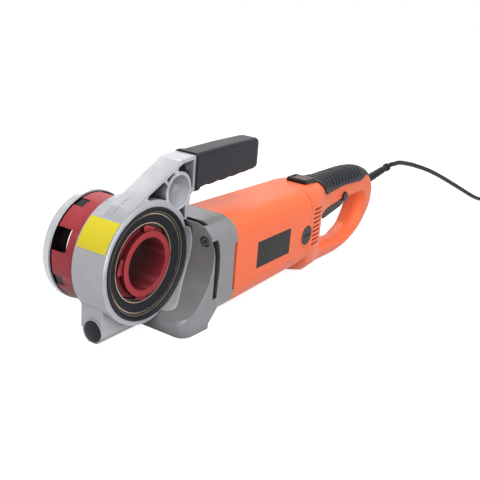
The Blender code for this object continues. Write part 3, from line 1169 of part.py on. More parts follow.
def hand_hole():
    """The hand hole's cutter, which widens in a round towards both sides."""
    length = HOLE_BACK - HOLE_FRONT
    height = HOLE_TOP - HOLE_BOTTOM
    outline = filleted([(HOLE_FRONT + length * a, HOLE_TOP - height * b, HOLE_FILLET * r)
                        for a, b, r in hole_shares], 3)
    sides = [(HANDLE_HALF_WIDTH * a, resized(outline, HOLE_ROUND * b)) for a, b in hole_round_shares]
    wide = [(2 * MOTOR_HALF_WIDTH, sides[0][1])] + sides
    return loft("hand_hole", [(MOTOR_Y - a, o) for a, o in wide] + [(MOTOR_Y + a, o) for a, o in wide[::-1]],
                axis="Y")


def switch_room(name, grow):
    return block(name, (SWITCH_FRONT - grow, MOTOR_Y - SWITCH_HALF_WIDTH - grow, SWITCH_LOW - grow),
                 (SWITCH_BACK + grow, MOTOR_Y + SWITCH_HALF_WIDTH + grow, SWITCH_HIGH + grow), BLACK_PLASTIC)


def handle_screw_places():
    start = MOTOR_BACK + SEAT_GAP
    length = HANDLE_END - start
    return [(start + length * a, AXIS_HEIGHT * b) for a, b in screw_shares]


def rear_housing():
    body = handle_loft("rear_body", 0)
    wide = 2 * MOTOR_HALF_WIDTH
    hole = hand_hole()
    bearing = rod("bearing_seat", "X", REAR_BEARING_RADIUS + SEAT_GAP, MOTOR_BACK, REAR_BEARING_END + SEAT_GAP,
                  at=(MOTOR_Y, MOTOR_Z))
    slot = block("trigger_slot", (TRIGGER_X - TRIGGER_LENGTH - OVERRUN, MOTOR_Y - TRIGGER_HALF_WIDTH - RUN_GAP,
                                  HOLE_TOP - HOLE_FILLET),
                 (TRIGGER_X + 2 * OVERRUN, MOTOR_Y + TRIGGER_HALF_WIDTH + RUN_GAP, SWITCH_LOW))
    near = MOTOR_Y - HANDLE_HALF_WIDTH
    lock = rod("lock_hole", "Y", LOCK_RADIUS + SEAT_GAP, near - OVERRUN, near + LOCK_DEPTH + LOCK_PROUD,
               at=(LOCK_X, LOCK_Z), facets=MIDDLE_FACETS)
    relief = relief_rod("relief_socket", RELIEF_ROOT + SEAT_GAP, -RELIEF_SINK, RELIEF_COLLAR_LENGTH)
    join(body, rod("lock_boss", "Y", LOCK_BOSS, near - LOCK_BOSS_PROUD, near + LOCK_DEPTH, at=(LOCK_X, LOCK_Z),
                   facets=MIDDLE_FACETS))
    rocker_room = block("rocker_room", (ROCKER_X - ROCKER_LENGTH / 2 - 2 * RUN_GAP,
                                        MOTOR_Y - ROCKER_HALF_WIDTH - RUN_GAP, POD_TOP - 4 * ROCKER_RISE),
                        (ROCKER_X + ROCKER_LENGTH / 2 + 2 * RUN_GAP, MOTOR_Y + ROCKER_HALF_WIDTH + RUN_GAP, POD_TOP))
    cut(body, hole, bearing, slot, switch_room("switch_room", SEAT_GAP), lock, relief, rocker_room)
    cut(body, *cap_lugs(CAP_RADIUS + CAP_LUG_WALL + SEAT_GAP, OVERRUN, CAP_LUG_DEPTH + SEAT_GAP))
    for x, z in handle_screw_places():
        cut(body, rod("handle_screw_hole", "Y", HANDLE_SCREW_SHANK + SEAT_GAP,
                      MOTOR_Y - HANDLE_SCREW_LENGTH / 3, MOTOR_Y + MOTOR_HALF_WIDTH, at=(x, z),
                      facets=SMALL_FACETS))
        seat = screw_seat(x)
        cut(body, rod("handle_screw_sink", "Y", HANDLE_SCREW_HEAD + SEAT_GAP, seat, MOTOR_FAR + OVERRUN,
                      at=(x, z), facets=SMALL_FACETS))
    louvre_cuts(body)
    bpy.context.view_layer.update()
    solid = bpy.data.meshes.new_from_object(body.evaluated_get(bpy.context.evaluated_depsgraph_get()))
    for guide in [step.object for step in body.modifiers]:
        bpy.data.objects.remove(guide)
    bpy.data.objects.remove(body)
    for name, low, high in (("rear_housing_near", MOTOR_Y - PART_LINE, MOTOR_Y + wide),
                            ("rear_housing_far", MOTOR_Y - wide, MOTOR_Y + PART_LINE)):
        half = bpy.data.objects.new(name, solid.copy())
        bpy.context.collection.objects.link(half)
        half.parent = tool
        cut(half, block(name + "_side", (MOTOR_FRONT, low, -wide - wide), (HANDLE_END + wide, high, wide)))


def screw_seat(x):
    """How far from the parting line a handle screw's head sits, where the handle is this wide."""
    start = MOTOR_BACK + SEAT_GAP
    share = (x - start) / (HANDLE_END - start)
    for near, far in zip(handle_shares, handle_shares[1:]):
        if near[0] <= share <= far[0]:
            between = (share - near[0]) / (far[0] - near[0])
            wide = near[1] + (far[1] - near[1]) * between
            return MOTOR_Y + MOTOR_HALF_WIDTH * wide - HANDLE_SCREW_SINK
    return MOTOR_FAR - HANDLE_SCREW_SINK


def louvre_cuts(body):
    for side in (-1, 1):
        wall = MOTOR_Y + side * MOTOR_HALF_WIDTH
        inner = wall - side * LOUVRE_DEPTH
        outer = wall + side * OVERRUN
        for index in range(LOUVRE_COUNT):
            top = LOUVRE_TOP - LOUVRE_PITCH * index
            cut(body, block("louvre", (LOUVRE_START, min(inner, outer), top - LOUVRE_WIDTH),
                            (LOUVRE_START + LOUVRE_LENGTH, max(inner, outer), top)))


def rib_grooves():
    """A comb of slabs over the overmould, less the handle's form grown to the grooves' floor."""
    comb = bmesh.new()
    low = MOTOR_TOP * RIB_LOW_SHARE
    for index in range(RIB_COUNT):
        made = bmesh.ops.create_cube(comb, size=1.0)["verts"]
        bmesh.ops.scale(comb, verts=made, vec=(RIB_GROOVE, 2 * MOTOR_HALF_WIDTH, MOTOR_TOP))
        bmesh.ops.translate(comb, verts=made, vec=(OVERMOULD_START + RIB_SETBACK + RIB_PITCH * index, MOTOR_Y,
                                                   low + MOTOR_TOP / 2))
    grooves = from_bmesh("rib_grooves", comb, RUBBER, tool)
    return cut(grooves, handle_loft("groove_floor", OVERMOULD_THICKNESS - RIB_DEPTH))


def handle_fittings():
    for name, (x, z) in zip(HANDLE_SCREW_SPOTS, handle_screw_places()):
        seat = screw_seat(x) + SEAT_GAP
        screw = rod("handle_screw_" + name, "Y", HANDLE_SCREW_HEAD, seat, seat + HANDLE_SCREW_SINK / 2,
                    DARK_STEEL, at=(x, z), facets=SMALL_FACETS)
        join(screw, rod("handle_screw_shank", "Y", HANDLE_SCREW_SHANK, MOTOR_Y - HANDLE_SCREW_LENGTH / 4,
                        seat + SEAT_GAP, at=(x, z), facets=8))
        cut(screw, rod("handle_screw_socket", "Y", HANDLE_SCREW_HEAD / 2, seat + HANDLE_SCREW_SINK / 5,
                       seat + HANDLE_SCREW_SINK, at=(x, z), facets=6))
    switch_room("switch_module", 0)

    cover = handle_loft("grip_overmould", OVERMOULD_THICKNESS, RUBBER)
    length = OVERMOULD_END - OVERMOULD_START
    edge = [(OVERMOULD_START + length * a, MOTOR_TOP * b) for a, b in cover_shares]
    keep = prism("overmould_extent", "Y", edge + [(OVERMOULD_END, 2 * MOTOR_TOP), (OVERMOULD_START, 2 * MOTOR_TOP)],
                 MOTOR_Y - MOTOR_HALF_WIDTH, MOTOR_FAR)
    combine(cover, keep, "INTERSECT")
    cut(cover, handle_loft("under_overmould", SEAT_GAP), rib_grooves())

    pod = prism("switch_pod", "Y", filleted([
        (POD_FRONT, POD_TOP - POD_RISE - OVERRUN, 0), (POD_BACK, POD_TOP - POD_RISE - OVERRUN, 0),
        (POD_BACK, POD_TOP - OVERRUN, OVERRUN / 2), (POD_BACK - 2 * OVERRUN, POD_TOP, OVERRUN),
        (POD_FRONT + OVERRUN, POD_TOP, OVERRUN / 2), (POD_FRONT, POD_TOP - OVERRUN, OVERRUN / 2)]),
        MOTOR_Y - POD_HALF_WIDTH, MOTOR_Y + POD_HALF_WIDTH, BLACK_PLASTIC)
    soften(pod, OVERRUN / 2)
    cut(pod, handle_loft("under_pod", SEAT_GAP))
    pivot_z = POD_TOP - ROCKER_RISE
    cut(pod, block("rocker_well", (ROCKER_X - ROCKER_LENGTH / 2 - 2 * RUN_GAP, MOTOR_Y - ROCKER_HALF_WIDTH - RUN_GAP,
                                   pivot_z - ROCKER_RISE - RUN_GAP),
                   (ROCKER_X + ROCKER_LENGTH / 2 + 2 * RUN_GAP, MOTOR_Y + ROCKER_HALF_WIDTH + RUN_GAP,
                    POD_TOP + OVERRUN)))
    cut(pod, rod("rocker_pin_hole", "Y", PIN_RADIUS + SEAT_GAP, MOTOR_Y - PIN_REACH - SEAT_GAP,
                 MOTOR_Y + PIN_REACH + SEAT_GAP, at=(ROCKER_X, pivot_z), facets=SMALL_FACETS))
    rod("rocker_pin", "Y", PIN_RADIUS, MOTOR_Y - PIN_REACH, MOTOR_Y + PIN_REACH, STEEL, at=(ROCKER_X, pivot_z),
        facets=SMALL_FACETS)
    half = ROCKER_LENGTH / 2
    rocker = prism("direction_rocker", "Y", [
        (-half, ROCKER_RISE * 0.9), (-half, -ROCKER_RISE * 0.2), (-PIN_RADIUS, -ROCKER_RISE * 0.85),
        (PIN_RADIUS, -ROCKER_RISE * 0.85), (half, -ROCKER_RISE * 0.2), (half, ROCKER_RISE * 0.9),
        (0, ROCKER_RISE * 0.6)], -ROCKER_HALF_WIDTH, ROCKER_HALF_WIDTH, RED_PLASTIC, rocker_pivot)
    cut(rocker, rod("rocker_bore", "Y", PIN_RADIUS + SEAT_GAP, -2 * ROCKER_HALF_WIDTH, 2 * ROCKER_HALF_WIDTH,
                    parent=rocker_pivot, facets=SMALL_FACETS))

    drop = TRIGGER_DROP
    trigger = prism("trigger", "Y", filleted([
        (-TRIGGER_LENGTH, drop * 0.3, 0), (-TRIGGER_LENGTH, -drop * 0.5, OVERRUN),
        (-TRIGGER_LENGTH * 0.86, -drop, 2 * OVERRUN), (-TRIGGER_LENGTH * 0.09, -drop * 0.5, OVERRUN),
        (TRIGGER_LENGTH * 0.028, -drop * 0.28, 0), (TRIGGER_LENGTH * 0.028, drop * 0.35, 0)], 3),
        -TRIGGER_HALF_WIDTH, TRIGGER_HALF_WIDTH, BLACK_PLASTIC, trigger_pivot)
    soften(trigger, OVERRUN / 2)
    lock = rod("lock_button", "Y", LOCK_RADIUS, -LOCK_PROUD, LOCK_DEPTH, BLACK_PLASTIC, lock_axis, MIDDLE_FACETS)
    soften(lock, LOCK_PROUD / 4)

    relief_end = RELIEF_LENGTH - RELIEF_COLLAR_LENGTH
    profile = [(0, -RELIEF_SINK + SEAT_GAP), (RELIEF_ROOT, -RELIEF_SINK + SEAT_GAP), (RELIEF_ROOT, 0)]
    step = relief_end / RELIEF_RINGS
    for index in range(RELIEF_RINGS):
        share = (index + 0.5) / RELIEF_RINGS
        radius = RELIEF_ROOT + (RELIEF_TIP - RELIEF_ROOT) * share
        profile += [(radius, step * (index + 0.3)), (radius - RELIEF_GROOVE, step * (index + 0.5)),
                    (radius, step * (index + 0.7))]
    profile += [(RELIEF_TIP, relief_end), (RELIEF_COLLAR, relief_end), (RELIEF_COLLAR, RELIEF_LENGTH),
                (0, RELIEF_LENGTH)]
    relief = turned("strain_relief", "Z", profile, RUBBER, facets=SMALL_FACETS)
    relief.location = RELIEF_POINT
    relief.rotation_euler = RELIEF_DIRECTION.to_track_quat("Z", "Y").to_euler()


# Mains lead

def smooth_route(points, steps=3):
    """A Catmull-Rom curve through hand-chosen points."""
    route = []
    for index in range(len(points) - 1):
        before = points[max(index - 1, 0)]
        start = points[index]
        end = points[index + 1]
        after = points[min(index + 2, len(points) - 1)]
        for step in range(steps):
            t = step / steps
            route.append(0.5 * (2 * start + (end - before) * t
                                + (2 * before - 5 * start + 4 * end - after) * t ** 2
                                + (3 * start - before - 3 * end + after) * t ** 3))
    route.append(points[-1])
    return route


def tube(name, points, resolution):
    curve = bpy.data.curves.new(name, "CURVE")
    curve.dimensions = "3D"
    curve.bevel_depth = CORD_RADIUS
    curve.bevel_resolution = resolution
    curve.use_fill_caps = True
    spline = curve.splines.new("POLY")
    spline.points.add(len(points) - 1)
    for spot, point in zip(spline.points, points):
        spot.co = (*point, 1.0)
    spline.use_smooth = True
    curve.materials.append(CORD_PVC)
    made = bpy.data.objects.new(name, curve)
    bpy.context.collection.objects.link(made)
    made.parent = stance
    made.modifiers.new("flat_facets", "TRIANGULATE")
    return made


def coil_route():
    """Two layers of a flat coil: it winds in on the ground, climbs a layer at its eye and winds out."""
    reverse = COIL_TURNS / 2
    route = []
    for step in range(round(COIL_TURNS * POINTS_PER_TURN) + 1):
        turns = step / POINTS_PER_TURN
        radius = COIL_RADIUS - COIL_PITCH * (reverse - abs(turns - reverse))
        climb = min(1, max(0, (turns - reverse) * 2 + 0.5))
        height = CORD_RADIUS + REST_GAP + LAYER_RISE * climb * climb * (3 - 2 * climb)
        angle = math.pi / 2 - math.tau * turns
        route.append(Vector((COIL_X + radius * math.cos(angle), COIL_Y + radius * math.sin(angle), height)))
    return route


def least_gap(route, skipped):
    """The least clear space between parts of a tube that lie more than some points apart on it."""
    least = math.inf
    for index, point in enumerate(route):
        for later in range(index + skipped, len(route) - 1):
            near, share = geometry.intersect_point_line(point, route[later], route[later + 1])
            if 0 <= share <= 1:
                least = min(least, (near - point).length)
            else:
                least = min(least, (route[later] - point).length)
    return least - 2 * CORD_RADIUS


def mains_lead():
    coil = coil_route()
    straight = 2 * CORD_RADIUS
    into = (coil[1] - coil[0]).normalized()
    into.z = 0
    leave = (coil[-1] - coil[-2]).normalized()
    leave.z = 0
    coil = [coil[0] - into * straight] + coil + [coil[-1] + leave * COIL_TAIL]
    tube("cord_coil", coil, 1)
    print("least gap of the coil to itself: %.2f mm" % (1000 * least_gap(coil, POINTS_PER_TURN // 2)))

    root = TO_GROUND @ RELIEF_END
    out = (TO_GROUND.to_3x3() @ RELIEF_DIRECTION).normalized()
    first = Vector((root.x, root.y, root.z + AXIS_HEIGHT)) + out * SEAT_GAP
    last = coil[0] - into * SEAT_GAP
    points = [first, first + out * 2 * CORD_RADIUS] + [Vector(p) for p in cord_points]
    points += [last - into * straight, last]
    tube("cord", [first] + smooth_route(points[1:-1]) + [last], 2)

    end = coil[-1] + leave * SEAT_GAP
    heading = math.atan2(leave.y, leave.x)
    plug_seat = empty("plug_seat", end, stance)
    plug_seat.rotation_euler = (0, 0, heading)
    half_height = end.z - REST_GAP
    sections = [(PLUG_LENGTH * a, section(0, PLUG_HALF_WIDTH * w, -half_height * h, half_height * h,
                                          half_height * h * 0.6, half_height * h * 0.6))
                for a, w, h in plug_shares]
    plug = loft("plug_body", sections, CORD_PVC, plug_seat)
    for side, name in ((-1, "right"), (1, "left")):
        y = side * PIN_SPREAD
        depth = PLUG_LENGTH - PLUG_PIN_LENGTH / 2
        cut(plug, rod("plug_pin_hole", "X", PLUG_PIN_RADIUS + SEAT_GAP, depth - SEAT_GAP, PLUG_LENGTH + OVERRUN,
                      parent=plug_seat, at=(y, 0), facets=16))
        pin = rod("plug_pin_" + name, "X", PLUG_PIN_RADIUS, depth, PLUG_LENGTH + PLUG_PIN_LENGTH, SILVER,
                  plug_seat, 16, (y, 0))
        soften(pin, PLUG_PIN_RADIUS / 3)


head_casting()
foot_plug()
drive_ring_group()
ring_gear()
gear_train()
gear_housing()
motor_housing()
brushes()
armature()
die_head()
side_grip()
rear_housing()
handle_fittings()
mains_lead()
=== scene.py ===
"""Looks for the hand-held electric pipe threader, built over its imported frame.

All lengths are in metres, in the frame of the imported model: X runs towards the rear handle, Y along the
pipe axis and Z is up. Places on the tool are given in its own frame, which has its origin on the pipe
axis at the lip of the drive ring and stands on the ground with a small tilt.
"""
import json
import math

import bmesh
import bpy
from mathutils import Matrix, Vector

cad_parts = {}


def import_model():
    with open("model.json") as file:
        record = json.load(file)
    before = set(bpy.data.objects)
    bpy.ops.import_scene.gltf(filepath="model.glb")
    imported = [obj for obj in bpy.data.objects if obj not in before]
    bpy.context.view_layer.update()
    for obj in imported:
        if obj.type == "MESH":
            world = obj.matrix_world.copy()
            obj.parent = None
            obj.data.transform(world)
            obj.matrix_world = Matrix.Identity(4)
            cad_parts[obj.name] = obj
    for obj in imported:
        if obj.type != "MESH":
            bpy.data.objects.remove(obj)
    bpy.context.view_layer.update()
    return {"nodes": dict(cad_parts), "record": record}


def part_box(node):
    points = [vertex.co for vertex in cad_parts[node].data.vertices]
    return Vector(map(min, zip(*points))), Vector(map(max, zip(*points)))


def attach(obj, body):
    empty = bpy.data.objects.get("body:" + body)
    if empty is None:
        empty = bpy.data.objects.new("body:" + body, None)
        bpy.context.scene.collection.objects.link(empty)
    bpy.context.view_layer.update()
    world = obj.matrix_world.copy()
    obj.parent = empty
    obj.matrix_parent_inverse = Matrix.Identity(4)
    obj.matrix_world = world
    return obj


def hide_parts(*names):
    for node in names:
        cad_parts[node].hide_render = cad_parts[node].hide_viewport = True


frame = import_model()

# Tool frame on the ground
AXIS_HEIGHT = 0.0863
STANCE_SLOPE = 0.036
RING_X = -0.272012
RING_Y = -0.0283
TOOL = Matrix.Translation((RING_X, RING_Y, AXIS_HEIGHT)) @ Matrix.Rotation(-math.atan(STANCE_SLOPE), 4, "Y")

# Camera
CAMERA_PLACE = (-0.866213, -0.52280, 0.37178)
CAMERA_TURN = (72.0818, -5.5180, -55.6828)
CAMERA_LENS = 55.806

# Lamps: where each stands, what it points at, its size and its power
LAMPS = {
    "key": ((-0.65, -1.15, 1.55), (-0.05, 0, 0.1), 2.0, 25),
    "fill": ((-1.5, -1.2, 0.6), (-0.1, 0, 0.1), 1.4, 11),
    "rim": ((0.9, 0.9, 1.4), (0, 0, 0.1), 1.2, 9),
    "top": ((0.05, -0.15, 1.6), (0.05, 0, 0.1), 1.2, 7),
}

# Studio
SKY_COLOUR = (0.95, 0.97, 1.0)
SKY_STRENGTH = 0.26
FLOOR_HALF_SIZE = 30.0
FLOOR_DROP = 0.0004
FLOOR_COLOUR = (0.40, 0.40, 0.41)
FLOOR_ROUGHNESS = 0.9
FLOOR_LIFT = 0.86

# Mains lead: its places are in metres from the pipe axis over the ground, as in the model
CORD_RADIUS = 0.004
CORD_SIDES = 16
LEAD_START = (0.611925, -0.012105, 0.121635)
LEAD_OUT = (0.897231, -0.258308, 0.358125)
LEAD_POINTS = [
    (0.6297, -0.0152, 0.1246),
    (0.6500, -0.0165, 0.1248),
    (0.6732, -0.0180, 0.1214),
    (0.7000, -0.0210, 0.1163),
    (0.7201, -0.0241, 0.1115),
    (0.7535, -0.0291, 0.1030),
    (0.7884, -0.0345, 0.0924),
    (0.8254, -0.0403, 0.0796),
    (0.8640, -0.0463, 0.0655),
    (0.9049, -0.0527, 0.0500),
    (0.9440, -0.0592, 0.0350),
    (0.9800, -0.0650, 0.0215),
    (1.0130, -0.0695, 0.0115),
    (1.0450, -0.0725, 0.0060),
    (1.0760, -0.0740, 0.0044),
]
LEAD_STEPS = 3
COIL_X = 1.105
COIL_Y = -0.136
COIL_RADIUS = 0.0615
COIL_TURNS = 6.5
COIL_PITCH = 0.0087
COIL_TAIL = 0.050
LAYER_RISE = 0.0085
CLIMB_TURNS = 0.5
POINTS_PER_TURN = 24
REST_GAP = 0.0002

# Strap round the coil's strands, which keeps only a share of its thickness where it faces the ground
TIE_ANGLE = math.radians(-135)
TIE_INNER = 0.0318
TIE_OUTER = 0.0608
TIE_WIDTH = 0.014
TIE_THICKNESS = 0.0012
TIE_LIFT = 0.00004
TIE_CORNER_STEPS = 6
TIE_UNDER_SLOPE = -0.5
TIE_UNDER_SHARE = 0.02

# Motor housing: the flat near and far sides, and the rounded upper near corner
MOTOR_NEAR = -0.0394
MOTOR_FAR = 0.0466
CORNER_RADIUS = 0.025
CORNER_Y = MOTOR_NEAR + CORNER_RADIUS
CORNER_Z = 0.0115

# Low rounded lines: a cross-section in shares of the width and height, and how far the ends narrow
BEAD_SECTION = [(-0.5, -1), (-0.35, 0.6), (0, 1), (0.35, 0.6), (0.5, -1)]
BEAD_END_SHARE = 0.25
CREASE_WIDTH = 0.0022
CREASE_HEIGHT = 0.00035
CREASE_STEPS = 4
UPPER_CREASE = [
    (0.13873, -0.02428, 0.03351),
    (0.13454, -0.03371, 0.02606),
    (0.14110, -0.03705, 0.01987),
    (0.15718, -0.03840, 0.01460),
    (0.17937, -0.03884, 0.01265),
    (0.21698, -0.03936, 0.01014),
    (0.24751, -0.03913, 0.01054),
    (0.25929, -0.03765, 0.01589),
]
LOWER_CREASE = [
    (0.11500, -0.03940, -0.04400),
    (0.13164, -0.03940, -0.04508),
    (0.17918, -0.03940, -0.04854),
    (0.22817, -0.03940, -0.05140),
    (0.27500, -0.03940, -0.05200),
    (0.29000, -0.03940, -0.04900),
    (0.29379, -0.03940, -0.04500),
]
SEAM_WIDTH = 0.0008
SEAM_HEIGHT = 0.00015
SEAM_POINTS = [
    (-0.03886, 0.02187, 0.05934),
    (-0.03506, 0.01990, 0.06339),
    (-0.03168, 0.01890, 0.06620),
    (-0.02700, 0.02054, 0.06923),
    (-0.02484, 0.01832, 0.07040),
    (-0.01726, 0.01835, 0.07437),
    (-0.01232, 0.01727, 0.07695),
]

# Raised rims of the brush caps, with their section in shares of the wall and height
RIM_INNER = 0.01385
RIM_WALL = 0.0026
RIM_HEIGHT = 0.0013
RIM_SECTION = [(0, -0.5), (0, 0.7), (0.3, 1), (0.7, 1), (1, 0.3), (1.3, 0), (1.3, -0.5)]
RIM_STEPS = 48

# Worn band on the outer seal
BAND_INNER = 0.0578
BAND_OUTER = 0.0602
BAND_DEEP = 0.0017
BAND_SHALLOW = 0.0008
BAND_SKIN = 0.0003
BAND_STEPS = 96

# Machined band beside the barrel: its front edge as turn in degrees and depth along the pipe axis
CRADLE_RADIUS = 0.06832
CRADLE_SKIN = 0.0007
CRADLE_GAP = 0.0006
CRADLE_ROUND_OUT = 0.6
CRADLE_ROUND_ALONG = 0.2
CRADLE_EDGE = [
    (27, -0.0085),
    (24, -0.0082),
    (14.4, -0.0078),
    (1.7, -0.0060),
    (-10.2, -0.0040),
    (-21.9, -0.0032),
    (-34.7, -0.0047),
    (-45.9, -0.0087),
    (-54, -0.0125),
    (-60, -0.0140),
    (-64.5, -0.0110),
    (-67.5, -0.0060),
    (-69, -0.0016),
]
CRADLE_STEPS = 6
CRADLE_TAPER = 9
CRADLE_CORNER = 50

# Blank sticker wrapped round the barrel, between two turns in degrees
BARREL_RADIUS = 0.0705
STICKER_FIRST = 127.5
STICKER_LAST = 157.5
STICKER_FRONT = 0.0028
STICKER_BACK = 0.0442
STICKER_GAP = 0.00005
STICKER_THICKNESS = 0.00015
STICKER_STEPS = 16
STICKER_CORNER = 30

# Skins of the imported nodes: angles in degrees, and how wide the softened corners are
WELD = 0.00001
CORNER_ANGLE = 31
FLAT_ANGLE = 0.4
ROUND_STEPS = 2
ROUNDED = {
    "head_casting": 0.0007,
    "gear_housing": 0.0007,
    "die_head_body": 0.0004,
    "motor_housing": 0.0005,
    "rear_housing_near": 0.0005,
    "rear_housing_far": 0.0005,
    "side_grip": 0.0006,
    "nameplate": 0.0002,
    "trigger": 0.0006,
    "foot_plug": 0.0004,
}

# Finishes: the edge sharpness at which wear starts and is full, the detail of the noise, the rays that
# look for open sky for the painted recess shade, and the least roughness
WORN_FROM = 0.53
WORN_TO = 0.62
CLOUD_DETAIL = 5.0
FINE_DETAIL = 3.0
SKY_SAMPLES = 8
LEAST_ROUGHNESS = 0.05


# Scene objects and shader nodes

def new_object(name, build):
    """An object of the scene that has the built mesh."""
    mesh = bpy.data.meshes.new(name)
    build.to_mesh(mesh)
    build.free()
    made = bpy.data.objects.new(name, mesh)
    bpy.context.collection.objects.link(made)
    return made


def skin_rings(build, rings, closed=False):
    """Faces between each ring of points and the next, with an end cap on both ends of an open row."""
    pairs = list(zip(rings, rings[1:]))
    if closed:
        pairs.append((rings[-1], rings[0]))
    for here, there in pairs:
        for k in range(len(here)):
            after = (k + 1) % len(here)
            build.faces.new((here[k], here[after], there[after], there[k]))
    if not closed:
        build.faces.new(rings[0])
        build.faces.new(rings[-1])


def feed(links, socket, value):
    """Links a socket to another node's output, or sets it to a plain value."""
    if isinstance(value, bpy.types.NodeSocket):
        links.new(value, socket)
    else:
        socket.default_value = value


def arithmetic(nodes, links, operation, first, second):
    made = nodes.new("ShaderNodeMath")
    made.operation = operation
    feed(links, made.inputs[0], first)
    feed(links, made.inputs[1], second)
    return made.outputs[0]


def vector_arithmetic(nodes, links, operation, first, second=None):
    made = nodes.new("ShaderNodeVectorMath")
    made.operation = operation
    feed(links, made.inputs[0], first)
    if second is not None:
        feed(links, made.inputs[1], second)
    return made.outputs["Value" if operation == "LENGTH" else "Vector"]


def map_range(nodes, links, value, given=(0.0, 1.0), wanted=(0.0, 1.0)):
    """A value moved from its given range to the wanted one, and kept within it."""
    made = nodes.new("ShaderNodeMapRange")
    made.inputs["From Min"].default_value = given[0]
    made.inputs["From Max"].default_value = given[1]
    made.inputs["To Min"].default_value = wanted[0]
    made.inputs["To Max"].default_value = wanted[1]
    links.new(value, made.inputs["Value"])
    return made.outputs["Result"]


def blend_colours(nodes, links, share, under, over):
    """The under colour where the share is zero, and the over colour where it is one."""
    made = nodes.new("ShaderNodeMix")
    made.data_type = "RGBA"
    feed(links, made.inputs["Factor"], share)
    feed(links, made.inputs["A"], under)
    feed(links, made.inputs["B"], over)
    return made.outputs["Result"]


def cloud_noise(nodes, links, place, scale, detail):
    made = nodes.new("ShaderNodeTexNoise")
    made.inputs["Scale"].default_value = scale
    made.inputs["Detail"].default_value = detail
    links.new(place, made.inputs["Vector"])
    return made.outputs["Fac"]


# Studio

def camera():
    data = bpy.data.cameras.new("photo_camera")
    data.lens = CAMERA_LENS
    made = bpy.data.objects.new("photo_camera", data)
    bpy.context.collection.objects.link(made)
    made.location = CAMERA_PLACE
    made.rotation_euler = [math.radians(a) for a in CAMERA_TURN]
    bpy.context.scene.camera = made


def area_light(name, place, target, size, power):
    data = bpy.data.lights.new(name, "AREA")
    data.shape = "DISK"
    data.size = size
    data.energy = power
    made = bpy.data.objects.new(name, data)
    bpy.context.collection.objects.link(made)
    made.location = place
    made.rotation_euler = (Vector(target) - Vector(place)).to_track_quat("-Z", "Y").to_euler()


def white_for_sight(nodes, links):
    """One where the ray comes from the camera, a mirror or glass."""
    path = nodes.new("ShaderNodeLightPath")
    seen = arithmetic(nodes, links, "MAXIMUM", path.outputs["Is Camera Ray"], path.outputs["Is Glossy Ray"])
    return arithmetic(nodes, links, "MAXIMUM", seen, path.outputs["Is Transmission Ray"])


def world():
    made = bpy.data.worlds.new("studio")
    bpy.context.scene.world = made
    made.use_nodes = True
    nodes = made.node_tree.nodes
    links = made.node_tree.links
    nodes.clear()
    light = nodes.new("ShaderNodeBackground")
    light.inputs["Color"].default_value = (*SKY_COLOUR, 1)
    light.inputs["Strength"].default_value = SKY_STRENGTH
    seen = nodes.new("ShaderNodeBackground")
    seen.inputs["Color"].default_value = (1, 1, 1, 1)
    seen.inputs["Strength"].default_value = 1.0
    mix = nodes.new("ShaderNodeMixShader")
    out = nodes.new("ShaderNodeOutputWorld")
    links.new(white_for_sight(nodes, links), mix.inputs["Fac"])
    links.new(light.outputs[0], mix.inputs[1])
    links.new(seen.outputs[0], mix.inputs[2])
    links.new(mix.outputs[0], out.inputs["Surface"])


def floor():
    """A wide sheet of pale paper, which looks white to the camera and keeps the tool's shadow."""
    build = bmesh.new()
    bmesh.ops.create_grid(build, x_segments=1, y_segments=1, size=FLOOR_HALF_SIZE)
    bmesh.ops.translate(build, verts=build.verts, vec=(0, 0, -FLOOR_DROP))
    made = new_object("floor", build)
    paper = bpy.data.materials.new("floor_paper")
    paper.use_nodes = True
    nodes = paper.node_tree.nodes
    links = paper.node_tree.links
    shader = nodes["Principled BSDF"]
    shader.inputs["Base Color"].default_value = (*FLOOR_COLOUR, 1)
    shader.inputs["Roughness"].default_value = FLOOR_ROUGHNESS
    lift = nodes.new("ShaderNodeEmission")
    lift.inputs["Strength"].default_value = FLOOR_LIFT
    none = nodes.new("ShaderNodeEmission")
    none.inputs["Strength"].default_value = 0.0
    pick = nodes.new("ShaderNodeMixShader")
    add = nodes.new("ShaderNodeAddShader")
    links.new(white_for_sight(nodes, links), pick.inputs["Fac"])
    links.new(none.outputs[0], pick.inputs[1])
    links.new(lift.outputs[0], pick.inputs[2])
    links.new(shader.outputs[0], add.inputs[0])
    links.new(pick.outputs[0], add.inputs[1])
    links.new(add.outputs[0], nodes["Material Output"].inputs["Surface"])
    made.data.materials.append(paper)


# Mains lead

def smooth_route(points, steps):
    """A smooth curve that passes through every point, with a number of steps from each to the next."""
    route = []
    for index in range(len(points) - 1):
        before = points[max(index - 1, 0)]
        start = points[index]
        end = points[index + 1]
        after = points[min(index + 2, len(points) - 1)]
        for step in range(steps):
            t = step / steps
            route.append(0.5 * (2 * start + (end - before) * t
                                + (2 * before - 5 * start + 4 * end - after) * t ** 2
                                + (3 * start - before - 3 * end + after) * t ** 3))
    route.append(points[-1])
    return route


def coil_route():
    """Two layers of a flat coil: it winds in on the ground, climbs a layer at its eye and winds out."""
    reverse = COIL_TURNS / 2
    route = []
    for step in range(round(COIL_TURNS * POINTS_PER_TURN) + 1):
        turns = step / POINTS_PER_TURN
        radius = COIL_RADIUS - COIL_PITCH * (reverse - abs(turns - reverse))
        climb = min(1, max(0, (turns - reverse) / CLIMB_TURNS + 0.5))
        height = CORD_RADIUS + REST_GAP + LAYER_RISE * climb * climb * (3 - 2 * climb)
        angle = math.pi / 2 - math.tau * turns
        route.append(Vector((COIL_X + radius * math.cos(angle), COIL_Y + radius * math.sin(angle), height)))
    return route


